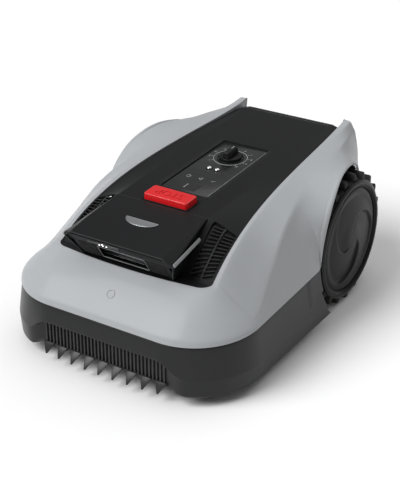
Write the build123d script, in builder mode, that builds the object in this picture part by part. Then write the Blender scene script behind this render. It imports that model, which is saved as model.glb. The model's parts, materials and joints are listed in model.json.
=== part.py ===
from build123d import *
import math
import os

os.makedirs("parts", exist_ok=True)

# ---------------------------------------------------------------- driving sizes, mm
# Frame: +Z up, the mower drives towards -Y, origin on the ground under the middle of its box.

# Body shell
shell_half_width = 208.0        # widest half-width of the upper shell
shell_front_y = -283.0          # foot of the sloping nose
shell_rear_y = 297.0            # back of the two fins
shell_wall = 3.0
shell_foot_z = 99.0             # seam between the upper shell and the skirt, at the nose
shell_foot_rise = 0.05          # rise of that seam per millimetre towards the rear
nose_corner_radius = 106.0
nose_height = 64.0              # rise of the nose from its foot to the opening
nose_run_on = 0.52              # slope of the nose line behind the opening edge
fin_top_z = 249.5
fin_lift = 9.0                  # how far the fins stand above the deck at the back
fin_lift_length = 55.0
rim_width = 7.0
fin_width = 13.0
fin_rear_z = 178.0              # lower end of the fins' upright rear edge

# Opening in the shell that the deck fills
opening_front_y = -220.0
opening_corner_y = -209.0        # where the front edge of the opening meets its sides
opening_side_y = -195.0         # where the edge of the opening starts to climb
opening_half_width = 138.0
opening_taper = 0.082           # half-width lost per millimetre towards the rear
opening_corner_radius = 20.0
rim_front_z = 162.0
rim_rear_z = 240.0
rim_rise_length = 110.0

# Deck and cowl
panel_gap = 0.6                 # shut line between fixed covers
deck_wall = 3.0
deck_rear_z = 242.2
deck_slope = 0.048
deck_crease_x = 83.0
deck_rear_edge_y = 285.0
cowl_front_y = -241.0
cowl_rear_y = -119.0
cowl_droop = 8.6
cowl_droop_length = 40.0
cowl_bevel_x = 18.0
cowl_bevel_drop = 10.0
cowl_overhang = 28.0
cowl_foot_x = 86.0
strip_length = 80.0
strip_width = 6.0
strip_depth = 2.0
vent_x = 112.0                  # middle of the louvred windows beside the cowl
vent_y = -150.0
vent_turn = 4.0                 # degrees that a window turns to follow the opening's edge
louvre_turn = 12.0
vent_rows = 12
vent_pitch = 6.6
vent_length = 15.0
vent_slot = 2.6
vent_frame_wall = 2.4

# Control panel
panel_half_width = 43.0
panel_front_y = -60.0
panel_rear_y = 133.0
panel_depth = 1.6
dial_y = 81.0
dial_ring_radius = 28.5
dial_radius = 19.0
dial_grip_length = 30.0
dial_grip_width = 11.0
dial_height = 15.0
stud_y = 31.0
stud_spacing = 15.0
stud_radius = 4.3
key_y = -9.0
key_spacing = 23.0
key_radius = 6.0
display_width = 28.0
display_length = 22.0
display_y = -40.0

# Stop button
stop_width = 81.0
stop_length = 34.0
stop_height = 10.5
stop_y = -96.0
stop_gap = 0.8
stop_pin_x = 26.0
stop_pin_radius = 3.0
stop_pin_clearance = 0.6
stop_spring_radius = 6.0

# Skirt bumper with its comb
skirt_bulge = 6.0               # how far the skirt stands out past the shell seam
skirt_seam_inset = 1.0          # how far its upper edge lies inside the shell's foot
skirt_foot_inset = 2.0          # how far its lower edge lies inside the crease
skirt_wall = 3.5
skirt_bottom_z = 18.0
skirt_crease_z = 48.0
skirt_travel = 3.0
skirt_gap = 1.2
skirt_pin_radius = 4.0
skirt_pin_x = 62.0
skirt_pin_z = 88.0
trim_front_y = -64.0            # where the side trims taper out
trim_height = 24.0
comb_half_width = 118.0
comb_top_z = 70.0
comb_bottom_z = 32.0
comb_depth = 13.0               # how far the comb's back wall stands behind the skirt's face
comb_sweep = 8.0                # how far the outer teeth stand behind the middle one
tooth_count = 9
tooth_pitch = 25.9
tooth_tip_z = 15.0
tooth_base_width = 19.0
tooth_tip_width = 4.0
rib_count = 34
rib_depth = 3.0

# Chassis
tub_wall = 3.0
tub_half_width_rear = 140.0
tub_half_width_front = 180.0
tub_front_y = -255.0
tub_step_y = 126.0
tub_rear_y = 285.0
tub_chamfer_length = 40.0
tub_chamfer_depth = 24.0
tub_floor_front_z = 78.0
tub_floor_rear_z = 46.0
tub_flange = 3.0                # thickness of the flange that the shell stands on
rear_panel_wall = 3.0
handle_width = 110.0
handle_height = 26.0
handle_depth = 30.0

# Drive wheels
wheel_y = 136.0
lug_tip_radius = 113.0
lug_count = 21
lug_height = 11.0
lug_angle = 6.6                 # degrees of arc that one lug covers
tyre_inner_x = 150.0
tyre_width = 47.0
tyre_wall = 14.0
rim_ring_inset = 17.2           # raised ring of the wheel disc, inside the lugs' tips
hub_cover_inset = 7.8           # hub cover inside the raised ring
hub_dome = 6.0
wheel_disc_x = 202.0            # outer face of the disc
axle_radius = 6.0
running_clearance = 0.05
arch_clearance = 9.0

# Front casters
caster_x = 116.0
caster_y = -165.0
caster_trail = 18.0
caster_wheel_radius = 32.0
caster_wheel_width = 22.0
caster_stem_radius = 6.0
caster_fork_wall = 4.0
caster_gap = 1.0

# Cutting unit
blade_y = -5.0
guide_radius = 5.0
guide_x = 44.0
blade_disc_radius = 90.0
blade_disc_z = 40.0
blade_disc_thickness = 3.0
blade_count = 3
blade_length = 36.0
blade_width = 16.0
blade_thickness = 1.0
blade_pivot_radius = 78.0
height_travel = 20.0            # each way from the rest height
motor_radius = 29.0
motor_height = 52.0
chamber_radius = 124.0
guard_wall = 3.0

# Internals
battery_size = (118.0, 78.0, 62.0)
battery_y = 225.0
board_size = (150.0, 96.0, 1.6)
gearbox_size = (52.0, 70.0, 60.0)
drive_motor_radius = 19.0
drive_motor_length = 44.0
drive_motor_back = 10.0         # how far the motors sit behind and above the axle
drive_motor_up = 8.0
screw_radius = 3.2
screw_head = 2.2
contact_x = 24.0                # charging contacts on the back
contact_z = 138.0
contact_width = 9.0
contact_height = 26.0

# ---------------------------------------------------------------- worked-out sizes
pitch_angle = 360.0 / lug_count
wheel_z = lug_tip_radius * math.cos(math.radians(lug_angle / 2))
arch_radius = lug_tip_radius + arch_clearance
rim_ring_radius = lug_tip_radius - rim_ring_inset
hub_cover_radius = rim_ring_radius - hub_cover_inset
caster_wheel_z = caster_wheel_radius
big = 700.0


def rim_x(y):
    """Half-width of the deck opening."""
    return opening_half_width - opening_taper * (y - opening_side_y)


def rim_z(y):
    """Height of the opening's edge."""
    run = max(0.0, y - opening_side_y)
    return rim_rear_z - (rim_rear_z - rim_front_z) * math.exp(-run / rim_rise_length)


def crest_z(y):
    """Height of the shell's top ridge, which grows into the fins."""
    lift = fin_lift * math.exp((y - shell_rear_y) / fin_lift_length)
    return rim_z(y) + lift * (fin_top_z - rim_rear_z) / fin_lift + 1.0 * (1 - lift / fin_lift)


def crest_width(y):
    """Width of the top ridge."""
    return rim_width + (fin_width - rim_width) * math.exp((y - shell_rear_y) / (2 * fin_lift_length))


def deck_z(y):
    """Height of the deck's flat middle."""
    droop = cowl_droop * math.exp(-(y - cowl_front_y) / cowl_droop_length)
    return deck_rear_z - deck_slope * (deck_rear_edge_y - 50.0 - y) - droop


def foot_z(y):
    """Height of the seam between shell and skirt."""
    return shell_foot_z + shell_foot_rise * (y - shell_front_y)


# Body lines: distance behind the nose, then inset from the half-width and height of the flank
# crease, of the shoulder, and inset of the foot.
BODY_LINES = [
    (0.0, 30.0, 126.0, 12.0, 112.0, 4.0),
    (76.0, 20.0, 119.0, 10.0, 112.0, 2.0),
    (126.0, 22.0, 134.0, 8.0, 124.0, 1.0),
    (176.0, 27.0, 151.0, 7.0, 132.0, 0.0),
    (218.0, 34.0, 178.0, 6.0, 145.0, 0.0),
    (270.0, 43.0, 202.0, 4.0, 162.0, 0.0),
    (313.0, 48.0, 214.0, 2.0, 180.0, 0.0),
    (355.0, 53.0, 225.0, 8.0, 219.0, 3.0),
    (406.0, 60.0, 237.0, 19.0, 236.0, 12.0),
    (453.0, 64.0, 239.0, 29.0, 235.0, 22.0),
    (500.0, 68.0, 238.0, 38.0, 220.0, 36.0),
    (545.0, 76.0, 236.0, 56.0, 200.0, 52.0),
    (580.0, 88.0, 226.0, 80.0, 190.0, 78.0),
]


def half_section(line, inset):
    """Points of one body section from the ridge to the foot, moved inwards by a wall."""
    run, crease_in, crease_up, shoulder_in, shoulder_up, foot_in = line
    y = shell_front_y + run
    ridge_in = rim_x(y) - 30.0
    ridge_out = rim_x(y) + crest_width(y)
    return y, [
        (ridge_in, crest_z(y) - inset),
        (ridge_out - inset * 0.6, crest_z(y) - inset),
        (shell_half_width - crease_in - inset * 0.8, crease_up - inset * 0.6),
        (shell_half_width - shoulder_in - inset, shoulder_up - inset * 0.4),
        (shell_half_width - foot_in - inset, foot_z(y) - 30.0),
    ]


def body_form(inset):
    """The upper body as a solid, all its faces moved inwards by the inset."""
    with BuildPart() as flank:
        for line in BODY_LINES:
            y, points = half_section(line, inset)
            with BuildSketch(Plane.XZ.offset(-y)):
                with BuildLine():
                    Polyline(points + [(-x, z) for x, z in reversed(points)], close=True)
                make_face()
        loft(ruled=True)
        with BuildSketch(Plane.YZ.offset(-big / 2)):
            with BuildLine():
                foot = (shell_front_y + inset, 0.0)
                front = (shell_front_y + inset, shell_foot_z + 4.0)
                edge = (opening_front_y + inset * 0.7, shell_foot_z + nose_height - inset * 0.7)
                rise = big / 2
                far = (edge[0] + rise, edge[1] + rise * nose_run_on)
                Line(foot, front)
                Spline(front, edge, tangents=((0.3, 1.0), (1.0, nose_run_on)))
                Polyline(edge, far, (big, far[1]), (big, 0.0), foot)
            make_face()
        extrude(amount=big, mode=Mode.INTERSECT)
        with BuildSketch():
            with BuildLine():
                side = shell_half_width - inset
                front_y = shell_front_y + inset
                Polyline((-side, big), (-side, front_y), (side, front_y), (side, big), close=True)
            make_face()
            corners = vertices().group_by(Axis.Y)[0]
            fillet(corners, nose_corner_radius - inset)
        extrude(amount=big, mode=Mode.INTERSECT)
    return flank.part


def opening_outline(gap):
    """Plan of the deck opening, drawn inside its edge by the gap."""
    rear_x = rim_x(big / 2) - gap
    with BuildSketch() as plan:
        with BuildLine():
            left = (-opening_half_width + gap, opening_corner_y)
            right = (opening_half_width - gap, opening_corner_y)
            ThreePointArc(left, (0, opening_front_y + gap), right)
            Polyline(right, (rear_x, big / 2), (-rear_x, big / 2), left)
        make_face()
        fillet(vertices().group_by(Axis.Y)[0], opening_corner_radius)
    return plan.sketch


def under_seam(lift):
    """Block below the sloping seam between shell and skirt."""
    with BuildPart() as block:
        with BuildSketch(Plane.YZ.offset(-big / 2)):
            with BuildLine():
                y0 = shell_front_y - 50.0
                y1 = shell_rear_y + 50.0
                Polyline((y0, -50.0), (y0, foot_z(y0) + lift), (y1, foot_z(y1) + lift), (y1, -50.0),
                         close=True)
            make_face()
        extrude(amount=big)
    return block.part


def arch_cut(radius, inner_x):
    """Round clearance for both drive wheels."""
    with BuildPart() as cut:
        for side in (-1, 1):
            with BuildSketch(Plane.YZ.offset(side * inner_x)):
                with Locations((wheel_y, wheel_z)):
                    Circle(radius)
            extrude(amount=side * 120.0)
    return cut.part


def save(name, piece):
    """Label one finished piece and write it."""
    piece.label = name
    export_step(piece, "parts/" + name + ".step")


# ---------------------------------------------------------------- upper shell
outer_form = body_form(0.0)
inner_form = body_form(shell_wall)
opening = opening_outline(0.0)
deck_plan = opening_outline(panel_gap)

with BuildPart() as grey_top_shell:
    add(outer_form)
    add(inner_form, mode=Mode.SUBTRACT)
    extrude(opening, amount=big, mode=Mode.SUBTRACT)
    add(under_seam(0.0), mode=Mode.SUBTRACT)
    add(arch_cut(arch_radius, tub_half_width_rear + 6.0), mode=Mode.SUBTRACT)
    with BuildSketch(Plane.YZ.offset(-big / 2)):
        with BuildLine():
            Polyline((wheel_y, 0), (shell_rear_y + 50, 0), (shell_rear_y + 50, fin_rear_z),
                     (wheel_y, fin_rear_z - 25.0), close=True)
        make_face()
    extrude(amount=big, mode=Mode.SUBTRACT)
save("grey_top_shell", grey_top_shell.part)

liner_low_z = deck_z(shell_rear_y) - 26.0

# Inner walls of the two fins, which close the ridge beside the deck.
with BuildPart() as fin_liners:
    extrude(offset(opening, amount=shell_wall, mode=Mode.PRIVATE), amount=big)
    extrude(opening, amount=big, mode=Mode.SUBTRACT)
    add(inner_form, mode=Mode.INTERSECT)
    with BuildSketch(Plane.YZ.offset(-big / 2)):
        with BuildLine():
            Polyline((wheel_y - 60.0, liner_low_z), (shell_rear_y, liner_low_z), (shell_rear_y, big),
                     (wheel_y - 60.0, big), close=True)
        make_face()
    extrude(amount=big, mode=Mode.INTERSECT)
save("fin_liners", fin_liners.part)

# ---------------------------------------------------------------- deck, cowl and their trim
deck_front_y = opening_front_y - 2.0
deck_step = 22.0


def deck_middle_z(y):
    """Height of the deck at its crease; ahead of the stop button it drops away under the cowl."""
    blend = min(1.0, max(0.0, (y - opening_side_y) / (cowl_rear_y - opening_side_y)))
    return rim_z(y) + (deck_z(y) - rim_z(y)) * blend ** 1.5


def deck_layer(top_drop, thickness):
    """A layer that follows the deck, from its front to its rear edge, below it by top_drop."""
    count = round((deck_rear_edge_y - deck_front_y) / deck_step)
    with BuildPart() as layer:
        for k in range(count + 1):
            y = deck_front_y + (deck_rear_edge_y - deck_front_y) * k / count
            edge = (rim_x(y) + 4.0, rim_z(y) - 1.5 - top_drop)
            middle = (deck_crease_x, deck_middle_z(y) - 1.0 - top_drop)
            top = [(-edge[0], edge[1]), (-middle[0], middle[1]), middle, edge]
            with BuildSketch(Plane.XZ.offset(-y)):
                with BuildLine():
                    Polyline(top + [(x, z - thickness) for x, z in reversed(top)], close=True)
                make_face()
        loft(ruled=True)
    return layer.part


def column(x, y, width, length, corner, low, high):
    """Upright block with rounded corners."""
    with BuildPart() as block:
        with BuildSketch(Plane.XY.offset(low)):
            with Locations((x, y)):
                RectangleRounded(width, length, corner)
        extrude(amount=high - low)
    return block.part


panel_middle_y = (panel_front_y + panel_rear_y) / 2
panel_length = panel_rear_y - panel_front_y
panel_middle_z = deck_z(panel_middle_y) - 1.0 - panel_depth
panel_plane = Plane((0, panel_middle_y, panel_middle_z), x_dir=(1, 0, 0), z_dir=(0, -deck_slope, 1))


def on_panel(x, y, up=0.0):
    """Plane on the control panel at a plan position, raised along its normal."""
    base = panel_plane.from_local_coords((x, (y - panel_middle_y), up))
    return Plane(base, x_dir=(1, 0, 0), z_dir=panel_plane.z_dir)


stop_plane = Plane((0, stop_y, deck_z(stop_y) - 1.0), x_dir=(1, 0, 0), z_dir=(0, -deck_slope, 1))

with BuildPart() as deck_cover:
    add(deck_layer(0.0, deck_wall))
    extrude(deck_plan, amount=big, mode=Mode.INTERSECT)
    add(column(0, panel_middle_y, 2 * panel_half_width + 2 * panel_gap, panel_length + 2 * panel_gap, 4.0,
               180.0, 280.0), mode=Mode.SUBTRACT)
    bay_front_y = opening_side_y - 5.0
    add(column(0, (bay_front_y + cowl_rear_y) / 2, 2 * deck_crease_x + 4 * panel_gap,
               cowl_rear_y - bay_front_y + 2 * panel_gap, 2.0, 100.0, 280.0), mode=Mode.SUBTRACT)
    add(column(0, stop_y, stop_width + 2 * stop_gap, stop_length + 2 * stop_gap, 5.0, 180.0, 280.0),
        mode=Mode.SUBTRACT)
    for side in (-1, 1):
        with BuildSketch(Plane.XY.offset(120.0)):
            with Locations((side * vent_x, vent_y)):
                RectangleRounded(2 * vent_length + 3 * vent_frame_wall, vent_rows * vent_pitch, 3.0,
                                 rotation=side * vent_turn)
        extrude(amount=120.0, mode=Mode.SUBTRACT)
save("deck_cover", deck_cover.part)


def vent_grille(side):
    """Louvred insert that fills the window beside the cowl."""
    with BuildPart() as grille:
        with BuildSketch(Plane.XY.offset(120.0)):
            with Locations((side * vent_x, vent_y)):
                RectangleRounded(2 * vent_length + 3 * vent_frame_wall - 2 * panel_gap,
                                 vent_rows * vent_pitch - 2 * panel_gap, 3.0, rotation=side * vent_turn)
            for column_side in (-1, 1):
                for k in range(vent_rows):
                    x = side * vent_x + column_side * (vent_length + vent_frame_wall) / 2
                    y = vent_y + (k - (vent_rows - 1) / 2) * vent_pitch * 0.94
                    with Locations((x, y)):
                        Rectangle(vent_length, vent_slot, rotation=side * louvre_turn, mode=Mode.SUBTRACT)
        extrude(amount=120.0)
        add(deck_layer(1.2, 3.0), mode=Mode.INTERSECT)
    return grille.part


with BuildPart() as vent_grilles:
    add(vent_grille(1))
    add(vent_grille(-1))
save("vent_grilles", vent_grilles.part)


cowl_steps = 8
cowl_foot_z = rim_front_z - 0.6


def cowl_form(inset):
    """The wedge over the front sensors, its faces moved inwards by the inset."""
    with BuildPart() as wedge:
        for k in range(cowl_steps + 1):
            y = cowl_front_y + (cowl_rear_y - cowl_front_y) * k / cowl_steps
            y = min(max(y, cowl_front_y + inset), cowl_rear_y - inset)
            top_z = deck_z(y) - inset
            foot_z_here = max(cowl_foot_z, deck_middle_z(y) - 1.0)
            bevel_x = deck_crease_x - 1.0 + cowl_bevel_x * (cowl_rear_y - y) / (cowl_rear_y - cowl_front_y)
            bevel_z = top_z - cowl_bevel_drop * (cowl_rear_y - y) / (cowl_rear_y - cowl_front_y) - 0.5
            foot = (cowl_foot_x - 4.0 - inset, min(foot_z_here, bevel_z - 1.0))
            points = [(deck_crease_x - 1.0 - inset, top_z), (bevel_x - inset, bevel_z), foot]
            with BuildSketch(Plane.XZ.offset(-y)):
                with BuildLine():
                    Polyline(points + [(-x, z) for x, z in reversed(points)], close=True)
                make_face()
        loft(ruled=True)
        with BuildSketch(Plane.YZ.offset(-big / 2)):
            with BuildLine():
                y0 = cowl_front_y + inset
                Polyline((y0, big), (y0, deck_z(y0) - 5.0), (y0 + cowl_overhang, cowl_foot_z),
                         (cowl_rear_y, cowl_foot_z), (cowl_rear_y, big), close=True)
            make_face()
        extrude(amount=big, mode=Mode.INTERSECT)
    return wedge.part


window_width = 84.0
window_height = 36.0
fascia_low = (0.0, cowl_front_y + cowl_overhang, cowl_foot_z)
fascia_rise = Vector(0, -cowl_overhang, deck_z(cowl_front_y) - 5.0 - cowl_foot_z)
fascia_up = fascia_rise.normalized()
fascia_plane = Plane(Vector(0, fascia_low[1], fascia_low[2]) + fascia_rise * 0.5, x_dir=(1, 0, 0),
                     z_dir=Vector(1, 0, 0).cross(fascia_up))
fascia_thickness = 2.5
fascia_height = fascia_rise.length

with BuildPart() as cowl_cover:
    add(cowl_form(0.0))
    add(cowl_form(deck_wall), mode=Mode.SUBTRACT)
    with BuildSketch(fascia_plane.offset(-6.0)):
        Rectangle(2 * cowl_foot_x - 22.0, fascia_height - 9.0)
    extrude(amount=12.0, mode=Mode.SUBTRACT)
    with BuildSketch(Plane.YZ.offset(-60.0)):
        with BuildLine():
            Polyline((cowl_rear_y - 30.0, 150.0), (cowl_rear_y + 5.0, 150.0), (cowl_rear_y + 5.0, 208.0),
                     (cowl_rear_y - 30.0, 208.0), close=True)
        make_face()
    extrude(amount=120.0, mode=Mode.SUBTRACT)
save("cowl_cover", cowl_cover.part)

fascia_width = 2 * cowl_foot_x - 22.0 - 2 * panel_gap
with BuildPart() as front_fascia:
    with BuildSketch(fascia_plane.offset(-1.0 - fascia_thickness)):
        Rectangle(fascia_width, fascia_height - 9.0 - 2 * panel_gap)
        with Locations((0, -4.0)):
            RectangleRounded(window_width, window_height - 6.0, 2.0, mode=Mode.SUBTRACT)
    extrude(amount=fascia_thickness)
    for side in (-1, 1):
        for k in range(9):
            with BuildSketch(fascia_plane.offset(-1.0)):
                with Locations((side * (window_width / 2 + 14.0), -15.0 + 3.4 * k)):
                    Rectangle(20.0, 1.4)
            extrude(amount=0.8)
save("front_fascia", front_fascia.part)

with BuildPart() as sensor_window:
    with BuildSketch(fascia_plane.offset(-1.4 - fascia_thickness)):
        with Locations((0, -4.0)):
            RectangleRounded(window_width - 0.4, window_height - 6.4, 2.0)
    extrude(amount=fascia_thickness)
save("sensor_window", sensor_window.part)

lamp_slot_x = -34.0
lamp_up = fascia_height / 2 - 8.0
lamp_spacing = 5.0
with BuildPart() as status_leds:
    with BuildSketch(fascia_plane.offset(-1.0)):
        with Locations((lamp_slot_x, lamp_up)):
            RectangleRounded(44.0, 5.0, 1.5)
    extrude(amount=1.2)
    with BuildSketch(fascia_plane.offset(0.2)):
        with Locations([(lamp_slot_x - 8.0 + lamp_spacing * k, lamp_up) for k in range(4)]):
            Circle(1.5)
    extrude(amount=0.8)
save("status_leds", status_leds.part)


def light_strip(side):
    """Light bar on the cowl's bevelled flank."""
    y0 = cowl_front_y + 5.0
    y1 = y0 + strip_length
    ends = []
    for k in range(cowl_steps + 1):
        y = y0 + (y1 - y0) * k / cowl_steps
        share = (cowl_rear_y - y) / (cowl_rear_y - cowl_front_y)
        outer = (deck_crease_x - 1.0 + cowl_bevel_x * share, deck_z(y) - cowl_bevel_drop * share - 0.5)
        inner = (deck_crease_x - 1.0, deck_z(y))
        ends.append((y, inner, outer))
    with BuildPart() as strip:
        for y, inner, outer in ends:
            away = Vector(inner[1] - outer[1], outer[0] - inner[0]).normalized()
            down = (Vector(*outer) - Vector(*inner)).normalized()
            start = Vector(*outer) - down * strip_width
            end = Vector(*outer) - down * 0.8
            corners = [start, end, end + away * strip_depth, start + away * strip_depth]
            with BuildSketch(Plane.XZ.offset(-y)):
                with BuildLine():
                    Polyline([(side * c.X, c.Y) for c in corners], close=True)
                make_face()
        loft(ruled=True)
    return strip.part


save("light_strip_right", light_strip(1))
save("light_strip_left", light_strip(-1))

badge_radius = 29.0
badge_y = cowl_front_y + 64.0
badge_straight = 10.0           # how far its straight side lies behind its middle
badge_plane = Plane((0, badge_y, deck_z(badge_y) + 0.6), x_dir=(1, 0, 0), z_dir=(0, -0.1, 1))
with BuildPart() as badge_plate:
    with BuildSketch(badge_plane):
        with BuildLine():
            CenterArc((0, badge_straight), badge_radius, 180.0, 180.0)
            Line((badge_radius, badge_straight), (-badge_radius, badge_straight))
        make_face()
        scale(by=(1.0, 0.62, 1.0))
    extrude(amount=1.2)
save("badge_plate", badge_plate.part)

# ---------------------------------------------------------------- control panel
panel_thickness = 2.4
spindle_radius = 4.0
with BuildPart() as control_panel:
    with BuildSketch(panel_plane.offset(-panel_thickness)):
        RectangleRounded(2 * panel_half_width, panel_length, 3.5)
        with Locations((0, dial_y - panel_middle_y)):
            Circle(spindle_radius + running_clearance, mode=Mode.SUBTRACT)
    extrude(amount=panel_thickness)
    with BuildSketch(panel_plane):
        with Locations((0, display_y - panel_middle_y)):
            RectangleRounded(display_width, display_length, 2.0)
    extrude(amount=-1.4, mode=Mode.SUBTRACT)
save("control_panel", control_panel.part)

with BuildPart() as display_window:
    with BuildSketch(panel_plane.offset(-1.4)):
        with Locations((0, display_y - panel_middle_y)):
            RectangleRounded(display_width - 0.4, display_length - 0.4, 2.0)
    extrude(amount=1.2)
save("display_window", display_window.part)

with BuildPart() as dial_scale:
    with BuildSketch(panel_plane):
        with Locations((0, dial_y - panel_middle_y)):
            Circle(dial_ring_radius)
            Circle(dial_ring_radius - 1.2, mode=Mode.SUBTRACT)
    extrude(amount=0.6)
save("dial_scale", dial_scale.part)

with BuildPart() as rain_sensor_studs:
    with BuildSketch(panel_plane):
        with Locations([(s * stud_spacing / 2 - 2.0, stud_y - panel_middle_y) for s in (-1, 1)]):
            Circle(stud_radius)
    extrude(amount=1.6)
    fillet(rain_sensor_studs.edges().group_by(Axis.Z)[-1], 1.2)
save("rain_sensor_studs", rain_sensor_studs.part)

with BuildPart() as touch_keys:
    with BuildSketch(panel_plane):
        with Locations([(k * key_spacing, key_y - panel_middle_y) for k in (-1, 0, 1)]):
            Circle(key_radius)
    extrude(amount=0.5)
save("touch_keys", touch_keys.part)

# Height dial: a disc with a bar grip on a spindle that passes through the panel.
dial_plane = on_panel(0, dial_y, 0.7)
with BuildPart() as dial_knob:
    with BuildSketch(dial_plane):
        Circle(dial_radius)
    extrude(amount=4.0)
    with BuildSketch(dial_plane.offset(4.0)):
        RectangleRounded(dial_grip_width, dial_grip_length, 4.0)
    extrude(amount=dial_height - 4.0, taper=6.0)
    with BuildSketch(dial_plane):
        Circle(spindle_radius)
    extrude(amount=-24.0)
save("dial_knob", dial_knob.part)

with BuildPart() as dial_pointer:
    with BuildSketch(dial_plane.offset(dial_height)):
        with Locations((0, dial_grip_length / 2 - 7.5)):
            Rectangle(1.6, 9.0)
    extrude(amount=0.4)
save("dial_pointer", dial_pointer.part)

# ---------------------------------------------------------------- stop button
with BuildPart() as stop_button:
    with BuildSketch(stop_plane.offset(-6.0)):
        RectangleRounded(stop_width, stop_length, 4.2)
    extrude(amount=6.0 + stop_height)
    fillet(stop_button.edges().group_by(Axis.Z)[-1], 2.4)
    with BuildSketch(stop_plane.offset(-6.0)):
        RectangleRounded(stop_width - 6.0, stop_length - 6.0, 2.5)
    extrude(amount=12.0, mode=Mode.SUBTRACT)
    with BuildSketch(stop_plane.offset(-15.0)):
        with Locations((-stop_pin_x, 0), (stop_pin_x, 0)):
            Circle(stop_pin_radius)
    extrude(amount=23.0)
save("stop_button", stop_button.part)

with BuildPart() as stop_button_tray:
    with BuildSketch(stop_plane.offset(-22.0)):
        RectangleRounded(stop_width + 8.0, stop_length + 8.0, 5.0)
        with Locations((-stop_pin_x, 0), (stop_pin_x, 0)):
            Circle(stop_pin_radius + stop_pin_clearance, mode=Mode.SUBTRACT)
    extrude(amount=2.5)
    with BuildSketch(stop_plane.offset(-19.5)):
        RectangleRounded(stop_width + 8.0, stop_length + 8.0, 5.0)
        RectangleRounded(stop_width + 3.0, stop_length + 3.0, 4.0, mode=Mode.SUBTRACT)
    extrude(amount=13.0)
save("stop_button_tray", stop_button_tray.part)

with BuildPart() as stop_spring:
    with BuildSketch(stop_plane.offset(-19.3)):
        Circle(stop_spring_radius)
        Circle(stop_spring_radius - 1.2, mode=Mode.SUBTRACT)
    extrude(amount=19.1 + 6.0 - 0.2)
save("stop_spring", stop_spring.part)

# ---------------------------------------------------------------- skirt bumper and comb
comb_tip_y = -shell_rear_y


def skirt_form(inset):
    """The skirt as a solid of three plan outlines, its faces moved inwards by the inset."""
    slope = (skirt_bulge + skirt_seam_inset) / (foot_z(0) - skirt_crease_z)
    top_z = big / 4
    levels = [
        (skirt_bottom_z, skirt_bulge - skirt_foot_inset),
        (skirt_crease_z, skirt_bulge),
        (top_z, skirt_bulge - slope * (top_z - skirt_crease_z)),
    ]
    with BuildPart() as form:
        for z, out in levels:
            side = shell_half_width + out - inset
            front = shell_front_y - out + inset
            with BuildSketch(Plane.XY.offset(z)):
                with BuildLine():
                    Polyline((-side, wheel_y), (-side, front), (side, front), (side, wheel_y), close=True)
                make_face()
                fillet(vertices().group_by(Axis.Y)[0], nose_corner_radius + out - inset)
        loft(ruled=True)
    return form.part


def trim_zone(gap):
    """Block over the trims, whose lower edge is an S-shaped shut line."""
    with BuildPart() as block:
        with BuildSketch(Plane.YZ.offset(-big / 2)):
            with BuildLine():
                start = (trim_front_y + 4.0 * gap, foot_z(trim_front_y))
                end = (wheel_y, foot_z(0) - trim_height - 8.0 + gap)
                Spline(start, ((start[0] + end[0]) / 2 - 30.0, foot_z(0) - trim_height / 2 + gap), end)
                Polyline(end, (end[0], big / 2), (start[0], big / 2), start)
            make_face()
        extrude(amount=big)
    return block.part


with BuildPart() as skirt_shell:
    add(skirt_form(0.0))
    add(skirt_form(skirt_wall), mode=Mode.SUBTRACT)
    with BuildSketch(Plane.YZ.offset(-big / 2)):
        with Locations((wheel_y, wheel_z)):
            Circle(arch_radius + skirt_travel + skirt_gap)
    extrude(amount=big, mode=Mode.SUBTRACT)
    add(under_seam(-skirt_gap), mode=Mode.INTERSECT)

with BuildPart() as skirt_bumper:
    add(skirt_shell.part)
    add(trim_zone(0.0), mode=Mode.SUBTRACT)
    with BuildSketch():
        with Locations((0, shell_front_y)):
            Rectangle(2 * comb_half_width, 40.0)
    extrude(amount=comb_top_z, mode=Mode.SUBTRACT)
    for side in (-1, 1):
        with BuildSketch(Plane.XZ.offset(-shell_front_y - 1.5)):
            with Locations((side * skirt_pin_x, skirt_pin_z)):
                Circle(skirt_pin_radius)
        extrude(amount=-(tub_front_y - shell_front_y + 14.0))
save("skirt_bumper", skirt_bumper.part)

for side, name in ((-1, "side_trim_left"), (1, "side_trim_right")):
    with BuildPart() as side_trim:
        add(skirt_form(0.0))
        add(skirt_form(skirt_wall), mode=Mode.SUBTRACT)
        add(arch_cut(arch_radius, shell_half_width / 2), mode=Mode.SUBTRACT)
        add(under_seam(-panel_gap), mode=Mode.INTERSECT)
        add(trim_zone(2.2), mode=Mode.INTERSECT)
        with BuildSketch():
            with Locations((side * big / 2, 0)):
                Rectangle(big, big)
        extrude(amount=big, mode=Mode.INTERSECT)
    save(name, side_trim.part)


def comb_y(x):
    """Sweep of the comb, outer teeth further back."""
    return comb_sweep * (x / comb_half_width) ** 2


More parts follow.
